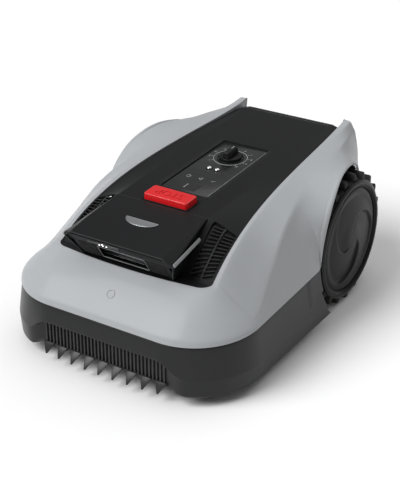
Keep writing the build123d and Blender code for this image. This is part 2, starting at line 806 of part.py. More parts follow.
comb_back_y = shell_front_y - skirt_bulge + comb_depth
comb_wall = 3.0
comb_gap = 0.5                  # shut line between the comb and the skirt
with BuildPart() as front_comb:
    with BuildSketch(Plane.XY.offset(comb_bottom_z)):
        with Locations((0, comb_back_y + comb_wall / 2)):
            Rectangle(2 * (comb_half_width - comb_gap), comb_wall)
    extrude(amount=comb_top_z - comb_bottom_z - comb_gap)
    with BuildSketch(Plane.XY.offset(comb_top_z - comb_gap - comb_wall)):
        with Locations((0, (comb_back_y + shell_front_y - 4.0) / 2)):
            Rectangle(2 * (comb_half_width - comb_gap), comb_back_y - shell_front_y + 4.0)
    extrude(amount=comb_wall)
    rib_pitch = 2 * (comb_half_width - 8.0) / (rib_count - 1)
    for k in range(rib_count):
        x = -comb_half_width + 8.0 + k * rib_pitch
        with BuildSketch(Plane.XY.offset(comb_bottom_z)):
            with Locations((x, comb_back_y - rib_depth / 2)):
                Rectangle(rib_pitch * 0.45, rib_depth + 0.4)
        extrude(amount=comb_top_z - comb_bottom_z - 3.0)
    with BuildSketch(Plane.XY.offset(comb_bottom_z - 2.0)):
        with BuildLine():
            half = comb_half_width - 8.0
            tip = comb_back_y - rib_depth
            Polyline((-half, comb_back_y + 3.0), (-half, tip), (half, tip), (half, comb_back_y + 3.0),
                     close=True)
        make_face()
    extrude(amount=5.0)
    for k in range(tooth_count):
        x = (k - (tooth_count - 1) / 2) * tooth_pitch
        base_y = comb_back_y - 2.0 + comb_y(x) / 2
        tip_y = comb_tip_y + 1.5 + comb_y(x)
        with BuildSketch(Plane.XY.offset(comb_bottom_z)):
            with Locations((x, base_y)):
                Rectangle(tooth_base_width, 7.0)
        with BuildSketch(Plane.XY.offset(tooth_tip_z)):
            with Locations((x, tip_y)):
                Rectangle(tooth_tip_width, 3.0)
        loft(ruled=True)
save("front_comb", front_comb.part)

# ---------------------------------------------------------------- chassis

def tub_outline(inset):
    """Plan of the tub, wide between the nose and the wheels and narrow between the wheels."""
    wide = tub_half_width_front - inset
    narrow = tub_half_width_rear - inset
    waist_y = wheel_y - arch_radius - 8.0 - inset
    front = tub_front_y + inset
    rear = tub_rear_y - inset
    right = [(wide - 30.0, front), (wide, front + 40.0), (wide, waist_y - 12.0), (narrow, waist_y),
             (narrow, rear - tub_chamfer_length), (narrow - tub_chamfer_depth, rear)]
    with BuildSketch() as plan:
        with BuildLine():
            Polyline(right + [(-x, y) for x, y in reversed(right)], close=True)
        make_face()
    return plan.sketch


def tub_form(inset, floor_drop):
    """The tub as a solid with a raised floor ahead of the step and a low floor behind it."""
    with BuildPart() as form:
        extrude(tub_outline(inset), amount=big / 2)
        with BuildSketch(Plane.YZ.offset(-big / 2)):
            with BuildLine():
                low = tub_floor_rear_z + floor_drop
                high = tub_floor_front_z + floor_drop
                step = tub_step_y + inset
                Polyline((-big, -1.0), (-big, high), (step, high), (step, low), (big, low), (big, -1.0),
                         close=True)
            make_face()
        extrude(amount=big, mode=Mode.SUBTRACT)
    return form.part


with BuildPart() as tub_shell:
    add(tub_form(0.0, 0.0))
    add(tub_form(tub_wall, tub_wall), mode=Mode.SUBTRACT)
    add(under_seam(tub_flange + 4.0), mode=Mode.INTERSECT)
with BuildPart() as tub_edge:
    add(body_form(shell_wall + 0.1))
    add(under_seam(tub_flange + 4.0), mode=Mode.INTERSECT)
    add(under_seam(4.0), mode=Mode.SUBTRACT)
    extrude(tub_outline(tub_wall), amount=big, mode=Mode.SUBTRACT)
    add(arch_cut(arch_radius, tub_half_width_rear), mode=Mode.SUBTRACT)
    with BuildSketch():
        with Locations((0, tub_rear_y + 50.0)):
            Rectangle(big, 100.0)
    extrude(amount=big, mode=Mode.SUBTRACT)
with BuildPart() as chassis_tub:
    add(tub_shell.part)
    add(tub_edge.part)
    with BuildSketch(Plane.XY.offset(tub_floor_front_z - 2.0)):
        with Locations((0, blade_y)):
            Circle(motor_radius + 2.0)
    extrude(amount=tub_wall + 4.0, mode=Mode.SUBTRACT)
    with BuildSketch(Plane.XY.offset(tub_floor_front_z - 2.0)):
        with Locations((-caster_x, caster_y), (caster_x, caster_y)):
            Circle(caster_stem_radius + 4.0)
    extrude(amount=tub_wall + 4.0, mode=Mode.SUBTRACT)
    with BuildSketch(Plane.YZ.offset(-big / 2)):
        with Locations((wheel_y, wheel_z)):
            Circle(axle_radius + 1.5)
    extrude(amount=big, mode=Mode.SUBTRACT)
    with BuildSketch(Plane.XZ.offset(-tub_front_y - tub_wall - 1.0)):
        with Locations((-skirt_pin_x, skirt_pin_z), (skirt_pin_x, skirt_pin_z)):
            Circle(skirt_pin_radius + 1.0)
    extrude(amount=20.0, mode=Mode.SUBTRACT)
save("chassis_tub", chassis_tub.part)

with BuildPart() as cutting_guard:
    with BuildSketch(Plane.XY.offset(tub_floor_front_z)):
        with Locations((0, blade_y)):
            Circle(chamber_radius)
            Circle(chamber_radius - guard_wall, mode=Mode.SUBTRACT)
    extrude(amount=-34.0)
save("cutting_guard", cutting_guard.part)

with BuildPart() as bumper_bushes:
    for side in (-1, 1):
        with BuildSketch(Plane.XZ.offset(-tub_front_y - tub_wall)):
            with Locations((side * skirt_pin_x, skirt_pin_z)):
                Circle(skirt_pin_radius + 3.0)
                Circle(skirt_pin_radius + running_clearance, mode=Mode.SUBTRACT)
        extrude(amount=-9.0)
save("bumper_bushes", bumper_bushes.part)

with BuildPart() as bumper_springs:
    for side in (-1, 1):
        with BuildSketch(Plane.XZ.offset(-shell_front_y - skirt_wall - 0.4)):
            with Locations((side * skirt_pin_x, skirt_pin_z)):
                Circle(skirt_pin_radius + 2.6)
                Circle(skirt_pin_radius + 0.6, mode=Mode.SUBTRACT)
        extrude(amount=-(tub_front_y - shell_front_y - skirt_wall - 1.2))
save("bumper_springs", bumper_springs.part)

liner_foot_z = tub_floor_rear_z + 6.0
with BuildPart() as arch_liner:
    with BuildSketch(Plane.YZ.offset(tub_half_width_rear)):
        with Locations((wheel_y, wheel_z)):
            Circle(arch_radius - 1.0)
            Circle(arch_radius - 3.5, mode=Mode.SUBTRACT)
    extrude(amount=100.0)
    add(body_form(shell_wall + 4.0), mode=Mode.INTERSECT)
    add(under_seam(-30.0), mode=Mode.SUBTRACT)
    with BuildSketch(Plane.YZ.offset(tub_half_width_rear)):
        with Locations((wheel_y, wheel_z)):
            Circle(arch_radius - 1.0)
            Circle(axle_radius + 4.0, mode=Mode.SUBTRACT)
    extrude(amount=2.0)
    add(grey_top_shell.part, mode=Mode.SUBTRACT)
    with BuildSketch(Plane.XY.offset(-big)):
        Rectangle(2 * big, 2 * big)
    extrude(amount=big + liner_foot_z, mode=Mode.SUBTRACT)
with BuildPart() as arch_liners:
    add(arch_liner.part)
    mirror(about=Plane.YZ)
save("arch_liners", arch_liners.part)

rear_y = deck_rear_edge_y - rear_panel_wall
handle_z = 186.0
with BuildPart() as beside_deck:
    with BuildSketch(Plane.XY.offset(liner_low_z)):
        Rectangle(2 * big, 2 * big)
    extrude(amount=big)
    extrude(deck_plan, amount=big, mode=Mode.SUBTRACT)
with BuildPart() as rear_panel:
    add(body_form(shell_wall + panel_gap))
    with BuildSketch(Plane.XZ.offset(-rear_y)):
        with Locations((0, fin_rear_z + 100.0)):
            Rectangle(big, 200.0)
    extrude(amount=-rear_panel_wall, mode=Mode.INTERSECT)
    extrude(tub_outline(0.0), amount=fin_rear_z + 1.0)
    with BuildSketch(Plane.XZ.offset(-rear_y)):
        Rectangle(big, big)
    extrude(amount=-rear_panel_wall, mode=Mode.INTERSECT)
    with BuildSketch(Plane.XZ.offset(-rear_y)):
        with Locations((0, handle_z)):
            RectangleRounded(handle_width, handle_height, 8.0)
    extrude(amount=-rear_panel_wall, mode=Mode.SUBTRACT)
    add(under_seam(tub_flange + 4.4), mode=Mode.SUBTRACT)
    add(beside_deck.part, mode=Mode.SUBTRACT)
    add(deck_layer(-20.0, deck_wall + 20.4), mode=Mode.SUBTRACT)
save("rear_panel", rear_panel.part)

# Upright corner walls that close the body between the shell's rear foot and the tub.
corner_front_y = wheel_y + arch_radius - 6.0
with BuildPart() as rear_corners:
    extrude(tub_outline(0.0), amount=fin_rear_z + 6.0)
    extrude(tub_outline(tub_wall), amount=big, mode=Mode.SUBTRACT)
    add(under_seam(tub_flange + 4.4), mode=Mode.SUBTRACT)
    with BuildSketch():
        with Locations((0, (corner_front_y + rear_y) / 2)):
            Rectangle(big, rear_y - corner_front_y - 0.2)
    extrude(amount=big, mode=Mode.INTERSECT)
    add(body_form(shell_wall + panel_gap), mode=Mode.INTERSECT)
save("rear_corners", rear_corners.part)

with BuildPart() as carry_handle:
    with BuildSketch(Plane.XZ.offset(-rear_y + handle_depth)):
        with Locations((0, handle_z + 8.0)):
            RectangleRounded(handle_width + 6.0, handle_height + 22.0, 8.0)
    extrude(amount=-handle_depth)
    with BuildSketch(Plane.XZ.offset(-rear_y + handle_depth - 3.0)):
        with Locations((0, handle_z)):
            RectangleRounded(handle_width, handle_height, 8.0)
    extrude(amount=-handle_depth, mode=Mode.SUBTRACT)
    with BuildSketch(Plane.XZ.offset(-rear_y + handle_depth - 3.0)):
        with Locations((0, handle_z + 8.0)):
            RectangleRounded(handle_width, handle_height + 16.0, 8.0)
    extrude(amount=-handle_depth + 9.0, mode=Mode.SUBTRACT)
save("carry_handle", carry_handle.part)

with BuildPart() as charging_contacts:
    with BuildSketch(Plane.XZ.offset(-rear_y - rear_panel_wall)):
        with Locations((-contact_x, contact_z), (contact_x, contact_z)):
            RectangleRounded(contact_width, contact_height, 2.0)
    extrude(amount=-1.0)
save("charging_contacts", charging_contacts.part)

# ---------------------------------------------------------------- drive wheels
tread_radius = lug_tip_radius - lug_height
disc_wall = 4.0
gearbox_outer_x = tub_half_width_rear - tub_wall - 1.0


def save_pair(name, piece):
    """Write a right-hand piece and its mirror image."""
    save(name + "_right", piece)
    save(name + "_left", mirror(piece, about=Plane.YZ))


def on_wheel(radius, degrees):
    """Point of the wheel's side view at a radius and an angle."""
    turn = math.radians(degrees)
    return (wheel_y + radius * math.cos(turn), wheel_z + radius * math.sin(turn))


def lug_profile(middle):
    """Side view of one tread lug at its place on the tread, middle in degrees."""
    foot_angle = lug_angle * 0.7
    tip_angle = lug_angle / 2
    corners = [(lug_foot_radius, -foot_angle), (lug_tip_radius, -tip_angle), (lug_tip_radius, tip_angle),
               (lug_foot_radius, foot_angle)]
    return [on_wheel(radius, middle + turn) for radius, turn in corners]


lug_foot_radius = tread_radius - 2.0
tyre_bore = tread_radius - tyre_wall
with BuildPart() as tyre:
    with BuildSketch(Plane.YZ.offset(tyre_inner_x)):
        with Locations((wheel_y, wheel_z)):
            Circle(tread_radius)
            Circle(tyre_bore, mode=Mode.SUBTRACT)
    extrude(amount=tyre_width)
    for k in range(lug_count):
        with BuildSketch(Plane.YZ.offset(tyre_inner_x)):
            with BuildLine():
                Polyline(lug_profile(-90.0 + pitch_angle * k), close=True)
            make_face()
        extrude(amount=tyre_width)
save_pair("tyre", tyre.part)

# The disc and the hub cover are turned about the wheel's axis: radius across, +X along.
wheel_plane = Plane((0, wheel_y, wheel_z), x_dir=(0, 0, 1), z_dir=(0, 1, 0))
wheel_axis = Axis((0, wheel_y, wheel_z), (1, 0, 0))
disc_inner_x = tyre_inner_x + 8.0
tyre_outer_x = tyre_inner_x + tyre_width
hub_radius = 24.0
hub_face_x = wheel_disc_x - 9.0
cover_seat = 4.0
with BuildPart() as wheel_disc:
    with BuildSketch(wheel_plane):
        with BuildLine():
            web_x = disc_inner_x + disc_wall
            seat_x = wheel_disc_x - cover_seat
            Polyline((axle_radius, disc_inner_x), (tyre_bore, disc_inner_x), (tyre_bore, tyre_outer_x),
                     (tread_radius - 2.0, tyre_outer_x), (rim_ring_radius + 2.0, wheel_disc_x),
                     (rim_ring_radius - 6.0, wheel_disc_x), (hub_cover_radius - 1.0, seat_x),
                     (tyre_bore - 6.0, seat_x - 2.0), (tyre_bore - 6.0, web_x),
                     (hub_radius, web_x), (hub_radius, hub_face_x), (axle_radius, hub_face_x), close=True)
        make_face()
    revolve(axis=wheel_axis)
save_pair("wheel_disc", wheel_disc.part)

cover_back_x = wheel_disc_x - cover_seat + 0.1
with BuildPart() as hub_cover:
    with BuildSketch(wheel_plane):
        with BuildLine():
            edge = (hub_cover_radius - 2.0, cover_back_x + 1.6)
            crown = (0.0, wheel_disc_x + hub_dome - 3.0)
            Polyline(crown, (0.0, cover_back_x), (hub_cover_radius - 2.0, cover_back_x), edge,
                     (hub_cover_radius * 0.75, crown[1] - 2.4),
                     (hub_cover_radius * 0.4, crown[1] - 0.8), crown)
        make_face()
    revolve(axis=wheel_axis)
    for k in range(3):
        with BuildSketch(Plane.YZ.offset(wheel_disc_x - 1.2)):
            with BuildLine():
                turn = 120.0 * k + 20.0
                leaf = [(0.34, 0.0), (0.70, 11.5), (0.84, 54.4), (0.57, 37.8)]
                root, back, point, front = [
                    on_wheel(share * hub_cover_radius, turn + degrees) for share, degrees in leaf]
                ThreePointArc(root, back, point)
                ThreePointArc(point, front, root)
            make_face()
        extrude(amount=20.0, mode=Mode.SUBTRACT)
save_pair("hub_cover", hub_cover.part)

axle_reach = 30.0               # how far the axle goes into the gearbox
with BuildPart() as axle:
    with BuildSketch(Plane.YZ.offset(gearbox_outer_x - axle_reach)):
        with Locations((wheel_y, wheel_z)):
            Circle(axle_radius)
    extrude(amount=hub_face_x - gearbox_outer_x + axle_reach)
save_pair("axle", axle.part)

gearbox_bore = axle_reach + 4.0
with BuildPart() as gearbox:
    with BuildSketch(Plane.YZ.offset(gearbox_outer_x)):
        with Locations((wheel_y, wheel_z)):
            RectangleRounded(gearbox_size[1], gearbox_size[2], 10.0)
    extrude(amount=-gearbox_size[0])
    with BuildSketch(Plane.YZ.offset(gearbox_outer_x)):
        with Locations((wheel_y, wheel_z)):
            Circle(axle_radius + running_clearance)
    extrude(amount=-gearbox_bore, mode=Mode.SUBTRACT)
with BuildPart() as gearboxes:
    add(gearbox.part)
    mirror(about=Plane.YZ)
save("gearboxes", gearboxes.part)

with BuildPart() as drive_motor:
    with BuildSketch(Plane.YZ.offset(gearbox_outer_x - gearbox_size[0])):
        with Locations((wheel_y + drive_motor_back, wheel_z + drive_motor_up)):
            Circle(drive_motor_radius)
    extrude(amount=-drive_motor_length)
with BuildPart() as drive_motors:
    add(drive_motor.part)
    mirror(about=Plane.YZ)
save("drive_motors", drive_motors.part)

# ---------------------------------------------------------------- front casters
fork_inner = caster_wheel_width / 2 + caster_gap
fork_top_z = 2 * caster_wheel_radius + 3.0
caster_pin_radius = 3.0


def caster(side, tail):
    """Fork with its pin, and wheel, of one swivelling front caster."""
    x = side * caster_x
    with BuildPart() as fork:
        with BuildSketch(Plane.XY.offset(fork_top_z)):
            with Locations((x, caster_y + caster_trail / 2)):
                RectangleRounded(2 * (fork_inner + caster_fork_wall), caster_trail + 26.0, 6.0)
        extrude(amount=caster_fork_wall)
        for ear in (-1, 1):
            with BuildSketch(Plane.YZ.offset(x + ear * fork_inner)):
                with BuildLine():
                    y0 = caster_y + caster_trail
                    Polyline((y0 - 9.0, caster_wheel_z), (y0 - 24.0, fork_top_z), (y0 + 10.0, fork_top_z),
                             (y0 + 9.0, caster_wheel_z))
                    ThreePointArc((y0 + 9.0, caster_wheel_z), (y0, caster_wheel_z - 9.0),
                                  (y0 - 9.0, caster_wheel_z))
                make_face()
            extrude(amount=ear * caster_fork_wall)
        with BuildSketch(Plane.XY.offset(fork_top_z)):
            with Locations((x, caster_y)):
                Circle(caster_stem_radius)
        extrude(amount=38.0)
        with BuildSketch(Plane.YZ.offset(x - fork_inner - caster_fork_wall)):
            with Locations((caster_y + caster_trail, caster_wheel_z)):
                Circle(caster_pin_radius)
        extrude(amount=2 * (fork_inner + caster_fork_wall))
    save("caster_fork_" + tail, fork.part)
    with BuildPart() as roller:
        with BuildSketch(Plane.YZ.offset(x - caster_wheel_width / 2)):
            with Locations((caster_y + caster_trail, caster_wheel_z)):
                Circle(caster_wheel_radius)
                Circle(caster_pin_radius + running_clearance, mode=Mode.SUBTRACT)
        extrude(amount=caster_wheel_width)
        rims = roller.edges().filter_by(GeomType.CIRCLE).sort_by(SortBy.RADIUS)[-2:]
        fillet(rims, 6.0)
    save("caster_wheel_" + tail, roller.part)


caster(-1, "left")
caster(1, "right")

caster_places = [(-caster_x, caster_y), (caster_x, caster_y)]
with BuildPart() as caster_sockets:
    with BuildSketch(Plane.XY.offset(fork_top_z + caster_fork_wall + 0.6)):
        with Locations(caster_places):
            Circle(caster_stem_radius + 3.6)
    extrude(amount=34.0)
    with BuildSketch(Plane.XY.offset(tub_floor_front_z + tub_wall)):
        with Locations(caster_places):
            Circle(caster_stem_radius + 12.0)
    extrude(amount=3.0)
    with BuildSketch(Plane.XY.offset(fork_top_z)):
        with Locations(caster_places):
            Circle(caster_stem_radius + running_clearance)
    extrude(amount=big, mode=Mode.SUBTRACT)
save("caster_sockets", caster_sockets.part)

# ---------------------------------------------------------------- cutting unit
motor_low_z = blade_disc_z + blade_disc_thickness + 8.0
carriage_z = motor_low_z + motor_height
shaft_radius = 4.0
with BuildPart() as blade_motor:
    with BuildSketch(Plane.XY.offset(motor_low_z)):
        with Locations((0, blade_y)):
            Circle(motor_radius)
            Circle(shaft_radius + running_clearance, mode=Mode.SUBTRACT)
    extrude(amount=20.0)
    with BuildSketch(Plane.XY.offset(motor_low_z + 20.0)):
        with Locations((0, blade_y)):
            Circle(motor_radius)
    extrude(amount=motor_height - 20.0)
save("blade_motor", blade_motor.part)

with BuildPart() as height_carriage:
    with BuildSketch(Plane.XY.offset(carriage_z)):
        with Locations((0, blade_y)):
            RectangleRounded(2 * guide_x + 26.0, 2 * motor_radius + 4.0, 10.0)
        with Locations((-guide_x, blade_y), (guide_x, blade_y)):
            Circle(guide_radius + running_clearance, mode=Mode.SUBTRACT)
    extrude(amount=5.0)
    with BuildSketch(Plane.XY.offset(carriage_z)):
        with Locations((-guide_x, blade_y), (guide_x, blade_y)):
            Circle(guide_radius + 4.0)
            Circle(guide_radius + running_clearance, mode=Mode.SUBTRACT)
    extrude(amount=16.0)
save("height_carriage", height_carriage.part)

with BuildPart() as guide_rods:
    for side in (-1, 1):
        with BuildSketch(Plane.XY.offset(tub_floor_front_z + tub_wall)):
            with Locations((side * guide_x, blade_y)):
                Circle(guide_radius)
        extrude(amount=carriage_z + height_travel + 20.0 - tub_floor_front_z - tub_wall)
save("guide_rods", guide_rods.part)

with BuildPart() as blade_disc:
    with BuildSketch(Plane.XY.offset(blade_disc_z)):
        with Locations((0, blade_y)):
            Circle(blade_disc_radius)
            with PolarLocations(blade_disc_radius * 0.55, 6, start_angle=30.0):
                Circle(11.0, mode=Mode.SUBTRACT)
    extrude(amount=blade_disc_thickness)
    with BuildSketch(Plane.XY.offset(blade_disc_z + blade_disc_thickness)):
        with Locations((0, blade_y)):
            Circle(14.0)
    extrude(amount=7.0)
    with BuildSketch(Plane.XY.offset(blade_disc_z)):
        with Locations((0, blade_y)):
            Circle(shaft_radius)
    extrude(amount=8.0 + 16.0)
save("blade_disc", blade_disc.part)

blade_z = blade_disc_z - 0.6 - blade_thickness
blade_pin_radius = 2.5
with BuildPart() as blade_screws:
    with BuildSketch(Plane.XY.offset(blade_disc_z)):
        with Locations((0, blade_y)):
            with PolarLocations(blade_pivot_radius, blade_count, start_angle=-90.0):
                Circle(blade_pin_radius)
    extrude(amount=-(0.6 + blade_thickness + 0.6))
    with BuildSketch(Plane.XY.offset(blade_z - 0.6)):
        with Locations((0, blade_y)):
            with PolarLocations(blade_pivot_radius, blade_count, start_angle=-90.0):
                Circle(4.6)
    extrude(amount=-1.8)
save("blade_screws", blade_screws.part)

for k in range(blade_count):
    angle = -90.0 + 360.0 / blade_count * k
    pivot = (blade_pivot_radius * math.cos(math.radians(angle)),
             blade_y + blade_pivot_radius * math.sin(math.radians(angle)))
    with BuildPart() as blade:
        with BuildSketch(Plane((pivot[0], pivot[1], blade_z), x_dir=(math.cos(math.radians(angle)),
                                                                     math.sin(math.radians(angle)), 0),
                               z_dir=(0, 0, 1))):
            with Locations((blade_length / 2 - 8.0, 0)):
                RectangleRounded(blade_length, blade_width, 3.0)
            Circle(blade_pin_radius + running_clearance, mode=Mode.SUBTRACT)
        extrude(amount=blade_thickness)
    save("blade_" + str(k + 1), blade.part)

# ---------------------------------------------------------------- battery, board and screws
with BuildPart() as battery_pack:
    with BuildSketch(Plane.XY.offset(tub_floor_rear_z + tub_wall)):
        with Locations((0, battery_y)):
            RectangleRounded(battery_size[0], battery_size[1], 6.0)
    extrude(amount=battery_size[2])
save("battery_pack", battery_pack.part)

board_z = tub_floor_front_z + tub_wall + 6.0
with BuildPart() as main_board:
    with BuildSketch(Plane.XY.offset(board_z)):
        with Locations((0, caster_y - 15.0)):
            Rectangle(board_size[0], board_size[1])
    extrude(amount=board_size[2])
    with BuildSketch(Plane.XY.offset(tub_floor_front_z + tub_wall)):
        with Locations((0, caster_y - 15.0)):
            with GridLocations(board_size[0] - 12.0, board_size[1] - 12.0, 2, 2):
                Circle(3.0)
    extrude(amount=6.0)
save("main_board", main_board.part)

side_screw_x = tub_half_width_front - 30.0
front_screw_y = tub_front_y + 30.0
rear_screw_x = tub_half_width_rear - 30.0
rear_screw_y = (tub_rear_y - 23.0, tub_step_y + 24.0)
with BuildPart() as chassis_screws:
    with BuildSketch(Plane.XY.offset(tub_floor_front_z)):
        with Locations([(side * side_screw_x, -60.0) for side in (-1, 1)]):
            Circle(screw_radius)
        with Locations([(side * 60.0, front_screw_y) for side in (-1, 1)]):
            Circle(screw_radius)
    extrude(amount=-screw_head)
    with BuildSketch(Plane.XY.offset(tub_floor_rear_z)):
        with Locations([(side * rear_screw_x, y) for side in (-1, 1) for y in rear_screw_y]):
            Circle(screw_radius)
    extrude(amount=-screw_head)
save("chassis_screws", chassis_screws.part)
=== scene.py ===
"""Robotic lawn mower: covers, wheels, controls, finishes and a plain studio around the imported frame."""

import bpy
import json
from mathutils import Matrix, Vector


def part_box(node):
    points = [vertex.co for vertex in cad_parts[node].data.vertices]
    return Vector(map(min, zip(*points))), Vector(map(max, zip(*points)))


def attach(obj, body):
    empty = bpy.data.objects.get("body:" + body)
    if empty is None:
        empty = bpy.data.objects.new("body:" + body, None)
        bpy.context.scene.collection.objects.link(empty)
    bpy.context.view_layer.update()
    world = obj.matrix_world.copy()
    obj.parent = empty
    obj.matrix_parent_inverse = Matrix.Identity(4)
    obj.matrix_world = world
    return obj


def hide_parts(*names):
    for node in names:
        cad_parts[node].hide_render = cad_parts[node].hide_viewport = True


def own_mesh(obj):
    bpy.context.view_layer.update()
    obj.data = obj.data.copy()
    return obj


bl_info = {
    "name": "Robotic Lawn Mower",
    "version": (1, 0, 0),
    "blender": (4, 5, 0),
    "location": "3D View > Sidebar > Mower",
    "description": "Builds the covers, wheels, controls and finishes of a robotic lawn mower",
    "category": "Add Mesh",
}

import json
import math

import bpy
from bpy.props import FloatProperty, FloatVectorProperty, IntProperty, PointerProperty
from mathutils import Matrix, Vector

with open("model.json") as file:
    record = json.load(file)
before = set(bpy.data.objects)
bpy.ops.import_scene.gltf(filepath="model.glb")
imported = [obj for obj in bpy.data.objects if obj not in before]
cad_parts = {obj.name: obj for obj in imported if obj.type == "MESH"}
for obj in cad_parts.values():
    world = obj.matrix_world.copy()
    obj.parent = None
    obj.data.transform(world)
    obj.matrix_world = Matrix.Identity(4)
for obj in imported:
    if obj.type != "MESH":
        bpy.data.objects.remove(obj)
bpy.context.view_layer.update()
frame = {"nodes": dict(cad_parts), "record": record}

# Sizes and places are in millimetres, and MM brings them into the scene's metres.
# +Z is up, the mower drives towards -Y, and the origin is on the ground under its middle.
MM = 0.001


def span(node):
    """Lowest and highest corner of a CAD node, in millimetres."""
    low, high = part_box(node)
    return low / MM, high / MM


# ---------------------------------------------------------------- places read from the frame
SHELL_LOW, SHELL_HIGH = span("grey_top_shell")
SHELL_FRONT_Y, SHELL_REAR_Y = SHELL_LOW.y, SHELL_HIGH.y
SHELL_FOOT_Z = SHELL_LOW.z
SHELL_SIDE_X = 208.0
AXLE_LOW, AXLE_HIGH = span("axle_right")
WHEEL_Y = (AXLE_LOW.y + AXLE_HIGH.y) / 2
WHEEL_Z = (AXLE_LOW.z + AXLE_HIGH.z) / 2
TYRE_LOW, TYRE_HIGH = span("tyre_right")
DISC_FACE_X = span("wheel_disc_right")[1].x
DECK_REAR_Y = span("deck_cover")[1].y
SKIRT_FOOT_Z = span("skirt_bumper")[0].z
COMB_LOW = span("front_comb")[0]
SPRING_LOW, SPRING_HIGH = span("bumper_springs")
COWL_LOW, COWL_HIGH = span("cowl_cover")
COWL_FRONT_Y, COWL_REAR_Y, COWL_FOOT_Z = COWL_LOW.y, COWL_HIGH.y, COWL_LOW.z

# ---------------------------------------------------------------- body lines
FOOT_RISE = 0.05                # rise of the shell's lower edge per millimetre rearwards
NOSE_CORNER = 106.0              # plan radius of the shell's front corners
OPENING_FRONT_Y = -220.0
OPENING_SIDE_Y = -195.0
OPENING_CORNER = 20.0
OPENING_HALF_WIDTH = 138.0
OPENING_TAPER = 0.082
OPENING_BOW = 11.0              # how far the middle of the opening's front edge bows forward
RIM_FRONT_Z = 162.0
RIM_REAR_Z = 240.0
RIM_RISE_LENGTH = 110.0
FIN_LIFT = 9.5
FIN_LIFT_LENGTH = 55.0
RIDGE_WIDTH = 7.0
RIDGE_CROWN = 0.4
FIN_WIDTH = 13.0
FIN_FOOT_Z = 178.0
ARCH_RADIUS = 122.0
ARCH_SWEEP = 150.0              # degrees of the wheel arch that the shell's edge follows
SHELL_WALL = 2.6
RIM_LIP = 6.0                   # how far the shell turns down into the opening
NOSE_LIP = 9.5                  # height of the upright band along the nose's lower edge
NOSE_MARK_Z = 136.0
NOSE_SOFTNESS = (0.14, 0.45, 0.45, 0.22)
CORNER_BLEND = (0.15, 1.35)     # shares of the corner between which its section leaves the nose's

# Heights and half-widths of the flank along y: the crease under the shoulder slope, the belly of
# the side wall, and the lower edge.
CREASE_X = ((-217, 200), (-173, 196), (-137, 191), (-102, 185), (-55, 176), (-12, 167), (30, 158),
            (72, 152), (110, 149), (150, 146), (190, 141), (230, 134), (265, 126), (297, 120))
CREASE_Z = ((-217, 106), (-173, 119), (-137, 140), (-102, 160), (-55, 195), (-12, 212), (30, 220),
            (72, 228), (110, 235), (150, 238), (190, 239), (230, 238), (265, 235), (297, 231))
BELLY_X = ((-217, 204), (-173, 203), (-137, 201), (-102, 198), (-55, 194), (-12, 196), (14, 199),
           (40, 201), (72, 196), (110, 185), (150, 177), (190, 166), (230, 154), (265, 143), (297, 125))
BELLY_Z = ((-217, 104), (-173, 109), (-137, 118), (-102, 129), (-55, 146), (-12, 166), (14, 182),
           (40, 198), (72, 222), (110, 235), (150, 236), (190, 231), (230, 215), (265, 205), (297, 200))
EDGE_X = ((-217, 208), (14, 208), (40, 205), (67, 200), (111, 190), (158, 181), (193, 173), (221, 166),
          (250, 156), (280, 137), (297, 128))

# Deck, cowl and panel
GAP = 0.6                       # shut line between fixed covers
DECK_TOP_Z = 242.2
DECK_SLOPE = 0.048
DECK_CREASE_X = 83.0
DECK_WALL = 2.4
DECK_ROLL = 17.0                # radius of the deck's rolled rear edge
CUTTER_TOP_Z = 280.0            # cutters of the deck's openings reach above everything
COWL_DROOP = 8.6
COWL_DROOP_LENGTH = 40.0
COWL_BEVEL = 18.0
COWL_BEVEL_DROP = 10.0
COWL_OVERHANG = 28.0
COWL_FOOT_X = 82.0
STRIP_ENDS = ((99.6, 4.0, 201.6), (91.4, 86.0, 208.0))  # x, distance behind the cowl's front, z
VENT_X, VENT_Y, VENT_TURN = 112.0, -150.0, 4.0
VENT_SIZE = (37.2, 79.2)
VENT_DEPTH = 5.0
SLAT_LEAN = 0.42                # how far a slat's outer end lies further back, per millimetre across
LAMP_PLACES = ((-34.0, -0.8), (-27.5, -0.8), (-21.0, -0.8), (-27.5, 2.4))
PANEL_HALF_WIDTH = 43.0
PANEL_FRONT_Y, PANEL_REAR_Y = -60.0, 133.0
PANEL_MIDDLE_Y = (PANEL_FRONT_Y + PANEL_REAR_Y) / 2
PANEL_SUNK = 1.6
DIAL_Y = 81.0 - PANEL_MIDDLE_Y
DIAL_MARKS = 10
STUD_Y = 31.0 - PANEL_MIDDLE_Y
KEY_Y = -9.0 - PANEL_MIDDLE_Y
DISPLAY_Y = -40.0 - PANEL_MIDDLE_Y
STOP_Y = -96.0
STOP_SIZE = (81.0, 34.0)
STOP_HEIGHT = 10.5
STOP_TAPER = (0.975, 0.95)      # the cap's top as a share of its foot

# Skirt and comb
SKIRT_BULGE = 6.0
SKIRT_SEAM_INSET = 1.0
SKIRT_TRAVEL_GAP = 1.2
SKIRT_ARCH_GAP = 4.2            # room behind the skirt for its travel
SKIRT_CREASE_SIDE_Z = 48.0
SKIRT_CREASE_FRONT_Z = 71.0
SKIRT_FOOT_INSET = 2.0
TRIM_FRONT_Y = -34.0
TRIM_LENGTH = 58.0
COMB_HALF_WIDTH = 118.0
COMB_FLARE = 34.0               # width over which the comb's recess runs out into the corners
COMB_SUNK = 13.0
TOOTH_HEIGHT = 18.0
TOOTH_SPACING = 25.9


def ease(value, start, end):
    """0 before start, 1 after end, smooth between them."""
    share = min(1.0, max(0.0, (value - start) / (end - start)))
    return share * share * (3.0 - 2.0 * share)


def read_line(table, y):
    """Value of a body line at y."""
    if y <= table[0][0]:
        return table[0][1]
    for (y0, a), (y1, b) in zip(table, table[1:]):
        if y <= y1:
            return a + (b - a) * (y - y0) / (y1 - y0)
    return table[-1][1]


